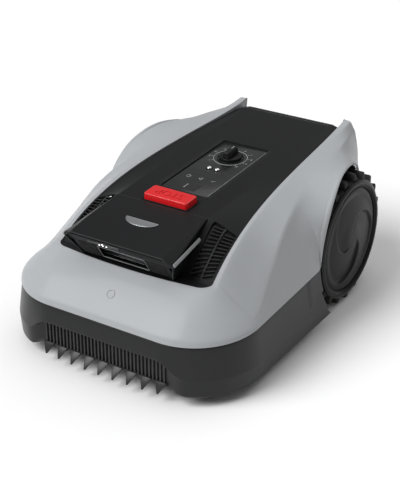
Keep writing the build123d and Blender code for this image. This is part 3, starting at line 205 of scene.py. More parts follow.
def flowing(table, y, reach=26.0):
    """Value of a body line at y with its corners flowed out over the reach."""
    steps = 6
    total = weight = 0.0
    for k in range(-steps, steps + 1):
        share = 1.0 - abs(k) / (steps + 1)
        total += share * read_line(table, y + reach * k / steps)
        weight += share
    return total / weight


def rim_x(y):
    """Half-width of the deck opening."""
    return OPENING_HALF_WIDTH - OPENING_TAPER * (y - OPENING_SIDE_Y)


def rim_z(y):
    """Height of the opening's edge."""
    run = max(0.0, y - OPENING_SIDE_Y)
    return RIM_REAR_Z - (RIM_REAR_Z - RIM_FRONT_Z) * math.exp(-run / RIM_RISE_LENGTH)


def ridge_z(y):
    """Height of the ridge beside the deck, which grows into the fins."""
    return rim_z(y) + FIN_LIFT * math.exp((y - SHELL_REAR_Y) / FIN_LIFT_LENGTH)


def ridge_width(y):
    """Width of that ridge."""
    return RIDGE_WIDTH + (FIN_WIDTH - RIDGE_WIDTH) * math.exp((y - SHELL_REAR_Y) / (2 * FIN_LIFT_LENGTH))


def foot_z(y):
    """Height of the shell's lower edge ahead of the wheels."""
    return SHELL_FOOT_Z + FOOT_RISE * (y - SHELL_FRONT_Y)


def deck_top_z(y):
    """Height of the deck and cowl along the middle."""
    droop = COWL_DROOP * math.exp(-(y - COWL_FRONT_Y) / COWL_DROOP_LENGTH)
    return DECK_TOP_Z - DECK_SLOPE * (DECK_REAR_Y - 50.0 - y) - droop


def deck_middle_z(y):
    """Height of the deck at its crease; it falls away beside the cowl."""
    share = min(1.0, max(0.0, (y - OPENING_SIDE_Y) / (COWL_REAR_Y - OPENING_SIDE_Y)))
    height = rim_z(y) + (deck_top_z(y) - rim_z(y)) * share ** 1.5 - 1.0
    roll = max(0.0, y - (DECK_REAR_Y - DECK_ROLL))
    return height - (DECK_ROLL - math.sqrt(max(0.0, DECK_ROLL ** 2 - roll ** 2)))


def deck_edge_z(y):
    """Height of the deck where it meets the shell."""
    roll = max(0.0, y - (DECK_REAR_Y - DECK_ROLL))
    return rim_z(y) - 1.5 - (DECK_ROLL - math.sqrt(max(0.0, DECK_ROLL ** 2 - roll ** 2)))


def deck_z_at(x, y):
    """Height of the deck at a plan position."""
    share = max(0.0, (abs(x) - DECK_CREASE_X) / (rim_x(y) - DECK_CREASE_X))
    return deck_middle_z(y) + (deck_edge_z(y) - deck_middle_z(y)) * share


def rounded_run(points, softness, arc=5, straight=4):
    """Samples along a polyline whose corners are rounded over a share of their two sides."""
    samples = [points[0]]
    last = points[0]
    for before, corner, after, soft in zip(points, points[1:], points[2:], softness):
        start = corner.lerp(before, soft)
        end = corner.lerp(after, soft)
        for k in range(1, straight + 1):
            samples.append(last.lerp(start, k / straight))
        for k in range(1, arc + 1):
            share = k / arc
            samples.append(start.lerp(corner, share).lerp(corner.lerp(end, share), share))
        last = end
    for k in range(1, straight + 1):
        samples.append(last.lerp(points[-1], k / straight))
    return samples


# ---------------------------------------------------------------- modelling helpers
def clear_selection():
    """Nothing selected, so that an operator acts on the next piece alone."""
    if bpy.context.object and bpy.context.object.mode != "OBJECT":
        bpy.ops.object.mode_set(mode="OBJECT")
    bpy.ops.object.select_all(action="DESELECT")


def pick(*pieces):
    """These pieces selected and the last of them active."""
    clear_selection()
    for piece in pieces:
        piece.select_set(True)
        bpy.context.view_layer.objects.active = piece


def named(name):
    """The object just added, named, with its place moved into its mesh."""
    piece = bpy.context.object
    piece.name = name
    bpy.ops.object.transform_apply(location=True, rotation=True, scale=True)
    return piece


def edit(piece, *steps):
    """Runs edit mode steps on the whole of a piece."""
    pick(piece)
    bpy.ops.object.mode_set(mode="EDIT")
    bpy.ops.mesh.select_all(action="SELECT")
    for step in steps:
        step()
    bpy.ops.object.mode_set(mode="OBJECT")


def finish_with(piece, kind, **settings):
    """Adds one modifier and applies it."""
    pick(piece)
    modifier = piece.modifiers.new(kind.title(), kind)
    for key, value in settings.items():
        setattr(modifier, key, value)
    bpy.ops.object.modifier_apply(modifier=modifier.name)
    return piece


def round_edges(piece, width, segments=2, angle=35.0):
    """Bevels the edges that are sharper than the angle."""
    return finish_with(piece, "BEVEL", width=width * MM, segments=segments, limit_method="ANGLE",
                       angle_limit=math.radians(angle), harden_normals=False)


def walled(piece, thickness):
    """Gives a skin its wall, inwards from its face."""
    return finish_with(piece, "SOLIDIFY", thickness=thickness * MM, offset=-1.0)


def mirrored(points):
    """The same points on the other side of the mower."""
    return [Vector((-p.x, p.y, p.z)) for p in points]


def skin(name, rows, flip=False, weld=False):
    """A grid of quads laid over rows of points."""
    across, along = len(rows), len(rows[0])
    clear_selection()
    bpy.ops.mesh.primitive_grid_add(x_subdivisions=across - 1, y_subdivisions=along - 1, size=1.0)
    piece = named(name)
    for vertex in piece.data.vertices:
        row = round((vertex.co.x + 0.5) * (across - 1))
        column = round((vertex.co.y + 0.5) * (along - 1))
        vertex.co = rows[row][column] * MM
    steps = []
    if weld:
        steps.append(lambda: bpy.ops.mesh.remove_doubles(threshold=0.02 * MM))
        steps.append(lambda: bpy.ops.mesh.normals_make_consistent(inside=False))
    if flip:
        steps.append(bpy.ops.mesh.flip_normals)
    if steps:
        edit(piece, *steps)
    return piece


def block(name, middle, size, bevel=0.5, turn=None, segments=2):
    """A box with softened edges; turn is its own frame, in millimetres."""
    clear_selection()
    bpy.ops.mesh.primitive_cube_add(size=1.0, location=Vector(middle) * MM, scale=Vector(size) * MM)
    piece = named(name)
    if bevel:
        round_edges(piece, bevel, segments)
    if turn is not None:
        place_in(piece, turn)
    return piece


def rod(name, middle, radius, height, bevel=0.5, turn=None, sides=64, segments=3):
    """An upright cylinder with softened rims."""
    clear_selection()
    bpy.ops.mesh.primitive_cylinder_add(vertices=sides, radius=radius * MM, depth=height * MM,
                                        location=Vector(middle) * MM)
    piece = named(name)
    if bevel:
        round_edges(piece, bevel, segments)
    if turn is not None:
        place_in(piece, turn)
    return piece


def hoop(name, middle, radius, wire, turn=None, sides=96):
    """A ring of round wire lying flat."""
    clear_selection()
    bpy.ops.mesh.primitive_torus_add(major_radius=radius * MM, minor_radius=wire * MM, major_segments=sides,
                                     minor_segments=10, location=Vector(middle) * MM)
    piece = named(name)
    if turn is not None:
        place_in(piece, turn)
    return piece


def lettering(name, words, size, depth, middle, turn, spin=0.0):
    """Solid letters or figures, centred on middle in the frame given by turn."""
    clear_selection()
    bpy.ops.object.text_add(align="WORLD")
    text = bpy.context.object
    text.data.body = words
    text.data.size = size * MM
    text.data.extrude = depth * MM / 2
    text.data.align_x = "CENTER"
    text.data.align_y = "CENTER"
    text.data.resolution_u = 3
    bpy.ops.object.convert(target="MESH")
    piece = named(name)
    place_in(piece, turn @ Matrix.Translation(Vector(middle)) @ Matrix.Rotation(spin, 4, "Z"))
    return piece


def place_in(piece, turn):
    """Moves a mesh into a frame whose offsets are in millimetres."""
    metres = turn.copy()
    metres.translation = turn.translation * MM
    piece.data.transform(metres)


def frame_of(origin, across, along, up):
    """Frame from its origin in millimetres and its three axes."""
    turn = Matrix((across, along, up)).transposed().to_4x4()
    turn.translation = Vector(origin)
    return turn


def standing_frame(origin, up):
    """Frame with its x axis along the mower's x axis and its z axis along up."""
    up = Vector(up).normalized()
    across = Vector((1, 0, 0))
    return frame_of(origin, across, up.cross(across), up)


def merged(name, pieces):
    """Several meshes as one piece."""
    pick(*pieces)
    if len(pieces) > 1:
        bpy.ops.object.join()
    piece = bpy.context.object
    piece.name = name
    return piece


def carve(piece, *cutters):
    """Cuts the cutters out of a closed piece and takes them away."""
    for cutter in cutters:
        finish_with(piece, "BOOLEAN", operation="DIFFERENCE", solver="EXACT", object=cutter)
        bpy.data.objects.remove(cutter, do_unlink=True)
    return piece


def hand_over(piece, finish, body, *nodes, smooth=32.0):
    """Gives a finished piece its material and its body, and hides the CAD nodes it stands for."""
    pick(piece)
    bpy.ops.object.shade_smooth_by_angle(angle=math.radians(smooth))
    piece.data.materials.clear()
    piece.data.materials.append(finish_material(finish))
    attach(piece, body)
    if nodes:
        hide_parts(*nodes)
    return piece


# ---------------------------------------------------------------- shader groups
def new_group(name, inputs, outputs):
    """An empty shader node group with named sockets."""
    group = bpy.data.node_groups.new(name, "ShaderNodeTree")
    for label, kind, value in inputs:
        socket = group.interface.new_socket(label, in_out="INPUT", socket_type=kind)
        if value is not None:
            socket.default_value = value
    for label, kind in outputs:
        group.interface.new_socket(label, in_out="OUTPUT", socket_type=kind)
    start = group.nodes.new("NodeGroupInput")
    end = group.nodes.new("NodeGroupOutput")
    return group, start, end


def add_node(tree, kind, **settings):
    """A node with its settings; a key such as in_Scale sets an input's value."""
    node = tree.nodes.new(kind)
    for key, value in settings.items():
        if key.startswith("in_"):
            node.inputs[key[3:].replace("_", " ")].default_value = value
        else:
            setattr(node, key, value)
    return node


def math_node(tree, operation, first, second):
    """A maths node; each side is a number or an output."""
    node = tree.nodes.new("ShaderNodeMath")
    node.operation = operation
    for socket, value in zip(node.inputs, (first, second)):
        if isinstance(value, (int, float)):
            socket.default_value = value
        else:
            tree.links.new(value, socket)
    return node.outputs[0]


def moulded_grain():
    """Fine moulded texture: a height for bump, a broad tone and a fine tone."""
    if "Moulded Grain" in bpy.data.node_groups:
        return bpy.data.node_groups["Moulded Grain"]
    group, start, end = new_group(
        "Moulded Grain",
        [("Vector", "NodeSocketVector", None), ("Grain", "NodeSocketFloat", 900.0),
         ("Cloud", "NodeSocketFloat", 9.0)],
        [("Height", "NodeSocketFloat"), ("Broad", "NodeSocketFloat"), ("Fine", "NodeSocketFloat")])
    links = group.links
    fine = add_node(group, "ShaderNodeTexNoise", in_Detail=2.0, in_Roughness=0.6)
    pits = add_node(group, "ShaderNodeTexVoronoi")
    cloud = add_node(group, "ShaderNodeTexNoise", in_Detail=4.0, in_Roughness=0.55)
    for texture, scale in ((fine, "Grain"), (pits, "Grain"), (cloud, "Cloud")):
        links.new(start.outputs["Vector"], texture.inputs["Vector"])
        links.new(start.outputs[scale], texture.inputs["Scale"])
    both = math_node(group, "MULTIPLY_ADD", pits.outputs["Distance"], 0.6)
    links.new(fine.outputs["Fac"], both.node.inputs[2])
    links.new(both, end.inputs["Height"])
    links.new(cloud.outputs["Fac"], end.inputs["Broad"])
    links.new(fine.outputs["Fac"], end.inputs["Fine"])
    return group


def painted_edge_highlight():
    """Painted highlight mask: 1 along the outer edges of a piece, broken up by noise; the lighter colour
    mixed in there stands for light catching the edges.
    """
    if "Painted Edge Highlight" in bpy.data.node_groups:
        return bpy.data.node_groups["Painted Edge Highlight"]
    group, start, end = new_group(
        "Painted Edge Highlight", [("Vector", "NodeSocketVector", None), ("Reach", "NodeSocketFloat", 0.06)],
        [("Mask", "NodeSocketFloat")])
    geometry = add_node(group, "ShaderNodeNewGeometry")
    highlight_breakup = add_node(group, "ShaderNodeTexNoise", in_Scale=60.0, in_Detail=3.0)
    group.links.new(start.outputs["Vector"], highlight_breakup.inputs["Vector"])
    over = math_node(group, "SUBTRACT", geometry.outputs["Pointiness"], 0.515)
    sharp = math_node(group, "DIVIDE", over, start.outputs["Reach"])
    broken = math_node(group, "MULTIPLY", sharp, highlight_breakup.outputs["Fac"])
    broken.node.use_clamp = True
    group.links.new(broken, end.inputs["Mask"])
    return group


def grass_dust():
    """Mask of fine dust that gathers low on the mower."""
    if "Grass Dust" in bpy.data.node_groups:
        return bpy.data.node_groups["Grass Dust"]
    group, start, end = new_group(
        "Grass Dust", [("Vector", "NodeSocketVector", None), ("Top", "NodeSocketFloat", 0.12)],
        [("Mask", "NodeSocketFloat")])
    apart = add_node(group, "ShaderNodeSeparateXYZ")
    speckle = add_node(group, "ShaderNodeTexNoise", in_Scale=140.0, in_Detail=5.0, in_Roughness=0.7)
    group.links.new(start.outputs["Vector"], apart.inputs["Vector"])
    group.links.new(start.outputs["Vector"], speckle.inputs["Vector"])
    height = math_node(group, "DIVIDE", apart.outputs["Z"], start.outputs["Top"])
    low = math_node(group, "SUBTRACT", 1.0, height)
    low.node.use_clamp = True
    spots = math_node(group, "MULTIPLY", low, speckle.outputs["Fac"])
    group.links.new(spots, end.inputs["Mask"])
    return group


# Each finish: colour, roughness, metallic, clear coat, grain per metre, grain depth in millimetres,
# how much the tone and the roughness vary, painted edge highlight and dust.
FINISHES = {
    "grey_shell": ((0.345, 0.357, 0.370), 0.42, 0.0, 0.10, 1500, 0.020, 0.025, 0.05, 0.0, 0.0),
    "deck_black": ((0.0085, 0.0088, 0.0095), 0.36, 0.0, 0.0, 1400, 0.030, 0.10, 0.05, 0.25, 0.0),
    "panel_gloss": ((0.008, 0.0085, 0.009), 0.24, 0.0, 0.30, 1200, 0.008, 0.08, 0.05, 0.2, 0.0),
    "fascia_black": ((0.006, 0.006, 0.0065), 0.42, 0.0, 0.0, 1300, 0.020, 0.10, 0.05, 0.2, 0.0),
    "dark_glass": ((0.006, 0.006, 0.007), 0.06, 0.0, 0.6, 300, 0.002, 0.05, 0.02, 0.0, 0.0),
    "led_white": ((0.82, 0.85, 0.90), 0.25, 0.0, 0.3, 400, 0.004, 0.02, 0.02, 0.0, 0.0),
    "strip_grey": ((0.235, 0.238, 0.242), 0.34, 0.0, 0.2, 900, 0.010, 0.03, 0.04, 0.1, 0.0),
    "knob_black": ((0.007, 0.007, 0.0075), 0.36, 0.0, 0.0, 1500, 0.030, 0.10, 0.05, 0.35, 0.0),
    "marking_white": ((0.36, 0.37, 0.38), 0.45, 0.0, 0.0, 1500, 0.010, 0.05, 0.04, 0.0, 0.0),
    "chrome": ((0.80, 0.80, 0.81), 0.10, 1.0, 0.0, 300, 0.002, 0.02, 0.03, 0.0, 0.0),
    "stop_red": ((0.62, 0.008, 0.011), 0.24, 0.0, 0.35, 900, 0.008, 0.04, 0.04, 0.08, 0.0),
    "spring_steel": ((0.45, 0.45, 0.46), 0.34, 1.0, 0.0, 700, 0.006, 0.05, 0.08, 0.1, 0.0),
    "skirt_black": ((0.0110, 0.0113, 0.0120), 0.34, 0.0, 0.0, 1300, 0.035, 0.10, 0.06, 0.25, 0.10),
    "tub_black": ((0.013, 0.013, 0.014), 0.52, 0.0, 0.0, 1000, 0.040, 0.12, 0.06, 0.2, 0.25),
    "nylon": ((0.56, 0.56, 0.52), 0.48, 0.0, 0.0, 900, 0.015, 0.04, 0.05, 0.0, 0.1),
    "contact_brass": ((0.72, 0.55, 0.25), 0.28, 1.0, 0.0, 600, 0.006, 0.05, 0.08, 0.1, 0.0),
    "tyre_rubber": ((0.008, 0.008, 0.0085), 0.58, 0.0, 0.0, 1100, 0.060, 0.15, 0.08, 0.3, 0.35),
    "wheel_black": ((0.0060, 0.0062, 0.0066), 0.36, 0.0, 0.0, 1300, 0.030, 0.10, 0.06, 0.3, 0.10),
    "bright_steel": ((0.60, 0.60, 0.61), 0.28, 1.0, 0.0, 800, 0.006, 0.04, 0.08, 0.1, 0.0),
    "gearbox_grey": ((0.17, 0.17, 0.18), 0.46, 0.0, 0.0, 900, 0.030, 0.06, 0.05, 0.2, 0.1),
    "motor_steel": ((0.46, 0.46, 0.48), 0.32, 1.0, 0.0, 500, 0.008, 0.05, 0.08, 0.1, 0.0),
    "caster_grey": ((0.040, 0.040, 0.042), 0.60, 0.0, 0.0, 900, 0.050, 0.12, 0.06, 0.2, 0.35),
    "blade_disc_black": ((0.035, 0.035, 0.037), 0.48, 0.0, 0.0, 900, 0.030, 0.10, 0.05, 0.3, 0.3),
    "blade_steel": ((0.62, 0.62, 0.63), 0.24, 1.0, 0.0, 700, 0.008, 0.05, 0.08, 0.1, 0.0),
    "battery_case": ((0.035, 0.045, 0.065), 0.45, 0.0, 0.0, 900, 0.020, 0.08, 0.05, 0.1, 0.0),
    "board_green": ((0.010, 0.110, 0.040), 0.35, 0.0, 0.2, 500, 0.010, 0.20, 0.05, 0.0, 0.0),
}

LOW_SHEEN = ("deck_black", "fascia_black", "knob_black", "tub_black", "tyre_rubber", "wheel_black",
             "grey_shell")


def new_material(name, roughness=0.5, metallic=0.0):
    """An empty material: its tree, its shader and the surface's own coordinates."""
    material = bpy.data.materials.new(name)
    material.use_nodes = True
    shader = material.node_tree.nodes["Principled BSDF"]
    shader.inputs["Roughness"].default_value = roughness
    shader.inputs["Metallic"].default_value = metallic
    place = material.node_tree.nodes.new("ShaderNodeTexCoord").outputs["Object"]
    return material, material.node_tree, shader, place


def add_bump(tree, shader, height, strength, depth):
    """Bump from a height output; depth is in millimetres."""
    bump = add_node(tree, "ShaderNodeBump", in_Strength=strength, in_Distance=depth * MM)
    tree.links.new(height, bump.inputs["Height"])
    tree.links.new(bump.outputs["Normal"], shader.inputs["Normal"])


def mixed(tree, share, first, second):
    """A colour mix; first and second are colours or outputs, share is an output."""
    mix = tree.nodes.new("ShaderNodeMix")
    mix.data_type = "RGBA"
    for socket, value in ((mix.inputs[0], share), (mix.inputs[6], first), (mix.inputs[7], second)):
        if isinstance(value, tuple):
            socket.default_value = (*value, 1.0)
        else:
            tree.links.new(value, socket)
    return mix.outputs[2]


def placed_group(tree, group, vector, **values):
    """A node group in a material, fed with the surface's own coordinates."""
    node = tree.nodes.new("ShaderNodeGroup")
    node.node_tree = group
    tree.links.new(vector, node.inputs["Vector"])
    for label, value in values.items():
        node.inputs[label].default_value = value
    return node


def finish_material(slot):
    """The material of one slot, made the first time it is asked for."""
    name = slot.replace("_", " ").title()
    if name in bpy.data.materials:
        return bpy.data.materials[name]
    if slot == "badge_metal":
        return brushed_metal(name)
    colour, rough, metallic, coat, grain, depth, tone, rough_swing, edge_sheen, dust = FINISHES[slot]
    colours = bpy.context.scene.mower_colours
    chosen = {"grey_shell": colours.shell, "deck_black": colours.deck, "stop_red": colours.stop,
              "skirt_black": colours.skirt, "tyre_rubber": colours.tyre}
    if slot in chosen:
        colour = tuple(chosen[slot])
    material, tree, shader, place = new_material(name, metallic=metallic)
    shader.inputs["Coat Weight"].default_value = coat
    shader.inputs["Coat Roughness"].default_value = 0.12
    shader.inputs["Specular IOR Level"].default_value = 0.12 if slot in LOW_SHEEN else 0.30
    texture = placed_group(tree, moulded_grain(), place, Grain=float(grain), Cloud=9.0)
    darker = tuple(channel * (1.0 - tone) for channel in colour)
    lighter = tuple(channel * (1.0 + tone) for channel in colour)
    shade = mixed(tree, texture.outputs["Broad"], darker, lighter)
    # Painted highlight: sharp edges are mixed towards a lighter colour to stand for light catching them.
    if edge_sheen:
        edge_sheen_mask = placed_group(tree, painted_edge_highlight(), place, Reach=0.07)
        amount = math_node(tree, "MULTIPLY", edge_sheen_mask.outputs["Mask"], edge_sheen)
        shade = mixed(tree, amount, shade, tuple(min(1.0, 0.10 + channel * 1.6) for channel in colour))
    if dust:
        dusty = placed_group(tree, grass_dust(), place, Top=0.12)
        amount = math_node(tree, "MULTIPLY", dusty.outputs["Mask"], dust * 0.4)
        shade = mixed(tree, amount, shade, (0.13, 0.12, 0.085))
    tree.links.new(shade, shader.inputs["Base Color"])
    swing = math_node(tree, "MULTIPLY", texture.outputs["Broad"], 2.0 * rough_swing)
    roughness = math_node(tree, "ADD", swing, rough - rough_swing)
    tree.links.new(roughness, shader.inputs["Roughness"])
    add_bump(tree, shader, texture.outputs["Height"], 0.5, depth)
    if slot == "led_white":
        shader.inputs["Emission Color"].default_value = (1.0, 0.98, 0.94, 1.0)
        shader.inputs["Emission Strength"].default_value = 1.6
    return material


def brushed_metal(name):
    """Grey metal with fine strokes across it."""
    material, tree, shader, place = new_material(name, metallic=0.85)
    stretch = add_node(tree, "ShaderNodeMapping")
    stretch.inputs["Scale"].default_value = (60.0, 4000.0, 60.0)
    tree.links.new(place, stretch.inputs["Vector"])
    strokes = add_node(tree, "ShaderNodeTexNoise", in_Scale=1.0, in_Detail=3.0)
    tree.links.new(stretch.outputs["Vector"], strokes.inputs["Vector"])
    tree.links.new(mixed(tree, strokes.outputs["Fac"], (0.22, 0.23, 0.24), (0.36, 0.37, 0.38)),
                   shader.inputs["Base Color"])
    spread = math_node(tree, "MULTIPLY", strokes.outputs["Fac"], 0.2)
    tree.links.new(math_node(tree, "ADD", spread, 0.32), shader.inputs["Roughness"])
    add_bump(tree, shader, strokes.outputs["Fac"], 0.4, 0.01)
    return material


# ---------------------------------------------------------------- settings
class MowerSizes(bpy.types.PropertyGroup):
    """Sizes and counts of the mower's visible pieces."""
    ridge_softness: FloatProperty(name="Ridge softness", description="Rounding of the ridge beside the deck",
                                  default=0.22, min=0.02, max=0.5)
    crease_softness: FloatProperty(name="Crease softness", description="Rounding of the flank's crease",
                                   default=0.12, min=0.02, max=0.5)
    louvre_rows: IntProperty(name="Louvre rows", description="Slats in each column of a vent", default=12)
    lug_count: IntProperty(name="Tread lugs", description="Lugs round each drive wheel", default=21)
    tooth_count: IntProperty(name="Comb teeth", description="Teeth of the front comb", default=9)
    rib_count: IntProperty(name="Comb ribs", description="Upright ribs behind the teeth", default=34)
    swirl_height: FloatProperty(name="Hub swirl", description="Step height of the hub cover's vanes",
                                default=0.0042, unit="LENGTH")


class MowerColours(bpy.types.PropertyGroup):
    """Colours of the mower's main finishes."""
    shell: FloatVectorProperty(name="Shell", description="Colour of the upper shell", subtype="COLOR",
                               default=FINISHES["grey_shell"][0])
    deck: FloatVectorProperty(name="Deck", description="Colour of the deck and cowl", subtype="COLOR",
                              default=FINISHES["deck_black"][0])
    skirt: FloatVectorProperty(name="Skirt", description="Colour of the skirt and comb", subtype="COLOR",
                               default=FINISHES["skirt_black"][0])
    stop: FloatVectorProperty(name="Stop button", description="Colour of the stop button", subtype="COLOR",
                              default=FINISHES["stop_red"][0])
    tyre: FloatVectorProperty(name="Tyres", description="Colour of the drive wheels' tyres", subtype="COLOR",
                              default=FINISHES["tyre_rubber"][0])


# ---------------------------------------------------------------- upper shell
def mirrored_rows(half):
    """Rows of the left half in reverse and then the right half, sharing the middle row."""
    return [mirrored(row) for row in reversed(half[1:])] + half


def shell_low_z(y):
    """Height of the shell's lower edge, over the wheel arch and behind it."""
    arch_z = WHEEL_Z + math.sqrt(max(0.0, ARCH_RADIUS ** 2 - (y - WHEEL_Y) ** 2))
    if y > WHEEL_Y:
        return max(FIN_FOOT_Z, arch_z)
    if y > WHEEL_Y - ARCH_RADIUS:
        return max(foot_z(y), arch_z)
    return foot_z(y)


def flank_section(y):
    """Section of the shell beside the deck, from inside the opening to its lower edge."""
    inner_x = rim_x(y)
    top = ridge_z(y)
    depth = RIM_LIP + (top - FIN_FOOT_Z - RIM_LIP) * ease(y, DECK_REAR_Y - 24.0, DECK_REAR_Y)
    return [
        Vector((inner_x, y, top - depth)),
        Vector((inner_x, y, top)),
        Vector((inner_x + ridge_width(y), y, top + RIDGE_CROWN)),
        Vector((flowing(CREASE_X, y), y, flowing(CREASE_Z, y))),
        Vector((flowing(BELLY_X, y), y, max(flowing(BELLY_Z, y, 14.0), shell_low_z(y) + 1.5))),
        Vector((flowing(EDGE_X, y, 12.0), y, shell_low_z(y))),
    ]


def nose_section(rim, foot):
    """Section of the shell over the nose, from inside the opening to its lower edge."""
    lip_z = foot.z + NOSE_LIP
    rise = rim.z - lip_z
    points = [rim - Vector((0, 0, RIM_LIP)), rim]
    for share, up in ((0.27, 0.80), (0.64, 0.45), (0.972, 0.0)):
        flat = rim.lerp(foot, share)
        points.append(Vector((flat.x, flat.y, lip_z + rise * up)))
    return points + [foot]


def corner_section(rim, foot):
    """Section that leads from the nose into the flank: ridge above, straight slope to the foot."""
    run = (rim - foot).to_2d().length
    points = [rim - Vector((0, 0, RIM_LIP)), rim]
    for share, z in ((RIDGE_WIDTH / run, rim.z + 1.0), (1.0 - 5.0 / run, foot.z + 10.0),
                     (1.0 - 1.2 / run, foot.z + 5.0)):
        flat = rim.lerp(foot, share)
        points.append(Vector((flat.x, flat.y, z)))
    return points + [foot]


def blended(first, second, share):
    """Point by point mix of two sections."""
    return [a.lerp(b, share) for a, b in zip(first, second)]


def flank_softness():
    """Rounding of the four corners of a flank section."""
    sizes = bpy.context.scene.mower_sizes
    return (0.10, sizes.ridge_softness, sizes.crease_softness, 0.5)


def shell_run(points, softness):
    """Samples along one section of the shell."""
    return rounded_run(points, softness, arc=6, straight=5)


def softness_between(share):
    """Rounding on the way from the nose to the flank."""
    return tuple(a + (b - a) * share for a, b in zip(NOSE_SOFTNESS, flank_softness()))


def shell_stations():
    """Sections of the right half from the middle of the nose to the fin's end, with their softness."""
    flank_soft = flank_softness()
    stations = []
    straight = SHELL_SIDE_X - NOSE_CORNER
    corner_y = SHELL_FRONT_Y + NOSE_CORNER
    inner_straight = OPENING_HALF_WIDTH - OPENING_CORNER
    bow = OPENING_BOW * (inner_straight / OPENING_HALF_WIDTH) ** 2
    rim_corner_y = OPENING_FRONT_Y + bow + OPENING_CORNER
    front_steps, corner_steps, flank_steps, arch_steps, tail_steps = 26, 26, 54, 60, 14
    for k in range(front_steps):
        share = k / front_steps
        x = inner_straight * share
        bowed_y = OPENING_FRONT_Y + OPENING_BOW * (x / OPENING_HALF_WIDTH) ** 2
        rim = Vector((x, bowed_y, RIM_FRONT_Z + 1.0))
        foot = Vector((straight * share, SHELL_FRONT_Y, SHELL_FOOT_Z))
        stations.append((nose_section(rim, foot), NOSE_SOFTNESS))
    for k in range(corner_steps):
        share = k / corner_steps
        turn = math.radians(-90.0 + 90.0 * share)
        foot = Vector((straight + NOSE_CORNER * math.cos(turn), corner_y + NOSE_CORNER * math.sin(turn), 0))
        foot.z = foot_z(foot.y)
        lean = math.radians(-84.0 + 84.0 * share)
        rim = Vector((inner_straight + OPENING_CORNER * math.cos(lean),
                      rim_corner_y + OPENING_CORNER * math.sin(lean), 0))
        rim.z = rim_z(rim.y) + 1.0
        mix = ease(share, *CORNER_BLEND)
        section = blended(nose_section(rim, foot), corner_section(rim, foot), mix)
        stations.append((section, softness_between(mix)))
    corner_end = ease(1.0, *CORNER_BLEND)
    last_y = WHEEL_Y - ARCH_RADIUS
    for k in range(flank_steps):
        share = k / flank_steps
        y = corner_y + (last_y - corner_y) * share
        lag = (rim_corner_y - corner_y) * (1.0 - ease(y, corner_y, corner_y + 170.0))
        foot = Vector((SHELL_SIDE_X, y, foot_z(y)))
        rim = Vector((rim_x(y + lag), y + lag, ridge_z(y + lag)))
        ahead = blended(nose_section(rim, foot), corner_section(rim, foot), corner_end)
        flank = flank_section(y)
        for point in flank[:3]:
            point.y += lag
        flank[0].x, flank[1].x = rim.x, rim.x
        flank[2].x = rim.x + ridge_width(y + lag)
        for point, drop in zip(flank[:3], (RIM_LIP, 0.0, -RIDGE_CROWN)):
            point.z = rim.z - drop
        mix = ease(y, corner_y - 30.0, corner_y + 62.0)
        stations.append((blended(ahead, flank, mix), softness_between(corner_end + (1.0 - corner_end) * mix)))
    for k in range(1, arch_steps + 1):
        y = WHEEL_Y - ARCH_RADIUS * math.cos(math.radians(ARCH_SWEEP * k / arch_steps))
        stations.append((flank_section(y), flank_soft))
    tail_y = WHEEL_Y - ARCH_RADIUS * math.cos(math.radians(ARCH_SWEEP))
    for k in range(1, tail_steps + 1):
        y = tail_y + (SHELL_REAR_Y - 1.0 - tail_y) * k / tail_steps
        stations.append((flank_section(y), flank_soft))
    return stations


def fin_end(row):
    """Rows that close the fin's upright rear end behind its last section."""
    inner_x = row[0].x
    low = FIN_FOOT_Z
    closing = []
    for inset, y in ((0.0, SHELL_REAR_Y - 0.3), (0.06, SHELL_REAR_Y), (1.0, SHELL_REAR_Y)):
        closing.append([Vector((p.x + (inner_x - p.x) * inset, y, max(low, p.z))) for p in row])
    return closing


class MOWER_OT_shell(bpy.types.Operator):
    """Grey upper shell: nose, ridges, creased flanks, wheel arches and fins"""
    bl_idname = "mower.shell"
    bl_label = "Upper shell"

    def execute(self, context):
        half = [shell_run(points, soft) for points, soft in shell_stations()]
        half += fin_end(half[-1])
        shell = skin("upper_shell", mirrored_rows(half), flip=True)
        walled(shell, SHELL_WALL)
        hand_over(shell, "grey_shell", "chassis", "grey_top_shell", "fin_liners", smooth=40.0)
        return {"FINISHED"}


class MOWER_OT_arch_flanges(bpy.types.Operator):
    """Rolled flanges along the edges of both wheel arches"""
    bl_idname = "mower.arch_flanges"
    bl_label = "Wheel arch flanges"

    def execute(self, context):
        steps = 56
        width = 8.0
        rows = []
        for k in range(steps + 1):
            turn = math.radians(3.0 + (ARCH_SWEEP - 6.0) * k / steps)
            run = shell_run(flank_section(WHEEL_Y - ARCH_RADIUS * math.cos(turn)), flank_softness())
            rise = min(width / math.sin(turn), 3.0 * width)
            ring = []
            for share, proud in ((0.0, -1.6), (0.0, 0.9), (0.15, 1.5), (0.35, 1.6), (0.8, 1.4), (1.0, -0.8)):
                ring.append(self.along(run, rise * share, proud))
            rows.append(ring)
        right = skin("arch_flange_right", rows)
        left = skin("arch_flange_left", [mirrored(row) for row in rows], flip=True)
        for flange in (right, left):
            walled(flange, 1.2)
            hand_over(flange, "grey_shell", "chassis", smooth=50.0)
        return {"FINISHED"}

    def along(self, run, length, proud):
        """Point at a length up a section from its lower edge, standing proud of the surface."""
        for below, above in zip(reversed(run), reversed(run[:-1])):
            step = (above - below).length
            if step > 0.0 and length <= step:
                place = below.lerp(above, length / step)
                rise = (above - below).normalized()
                return place + Vector((rise.z, 0.0, -rise.x)) * proud
            length -= step
        return run[0].copy()


class MOWER_OT_nose_mark(bpy.types.Operator):
    """Plain raised ring in the middle of the nose"""
    bl_idname = "mower.nose_mark"
    bl_label = "Nose mark"

    def execute(self, context):
        run = shell_run(*shell_stations()[0])
        middle = min(run, key=lambda point: abs(point.z - NOSE_MARK_Z))
        place = run.index(middle)
        slope = (run[place + 2] - run[place - 2]).normalized()
        outward = Vector((0, slope.z, -slope.y))
        if outward.z < 0:
            outward = -outward
        ring = hoop("nose_mark", (0, 0, 0), 6.4, 0.9, standing_frame(middle, outward))
        hand_over(ring, "grey_shell", "chassis")
        return {"FINISHED"}


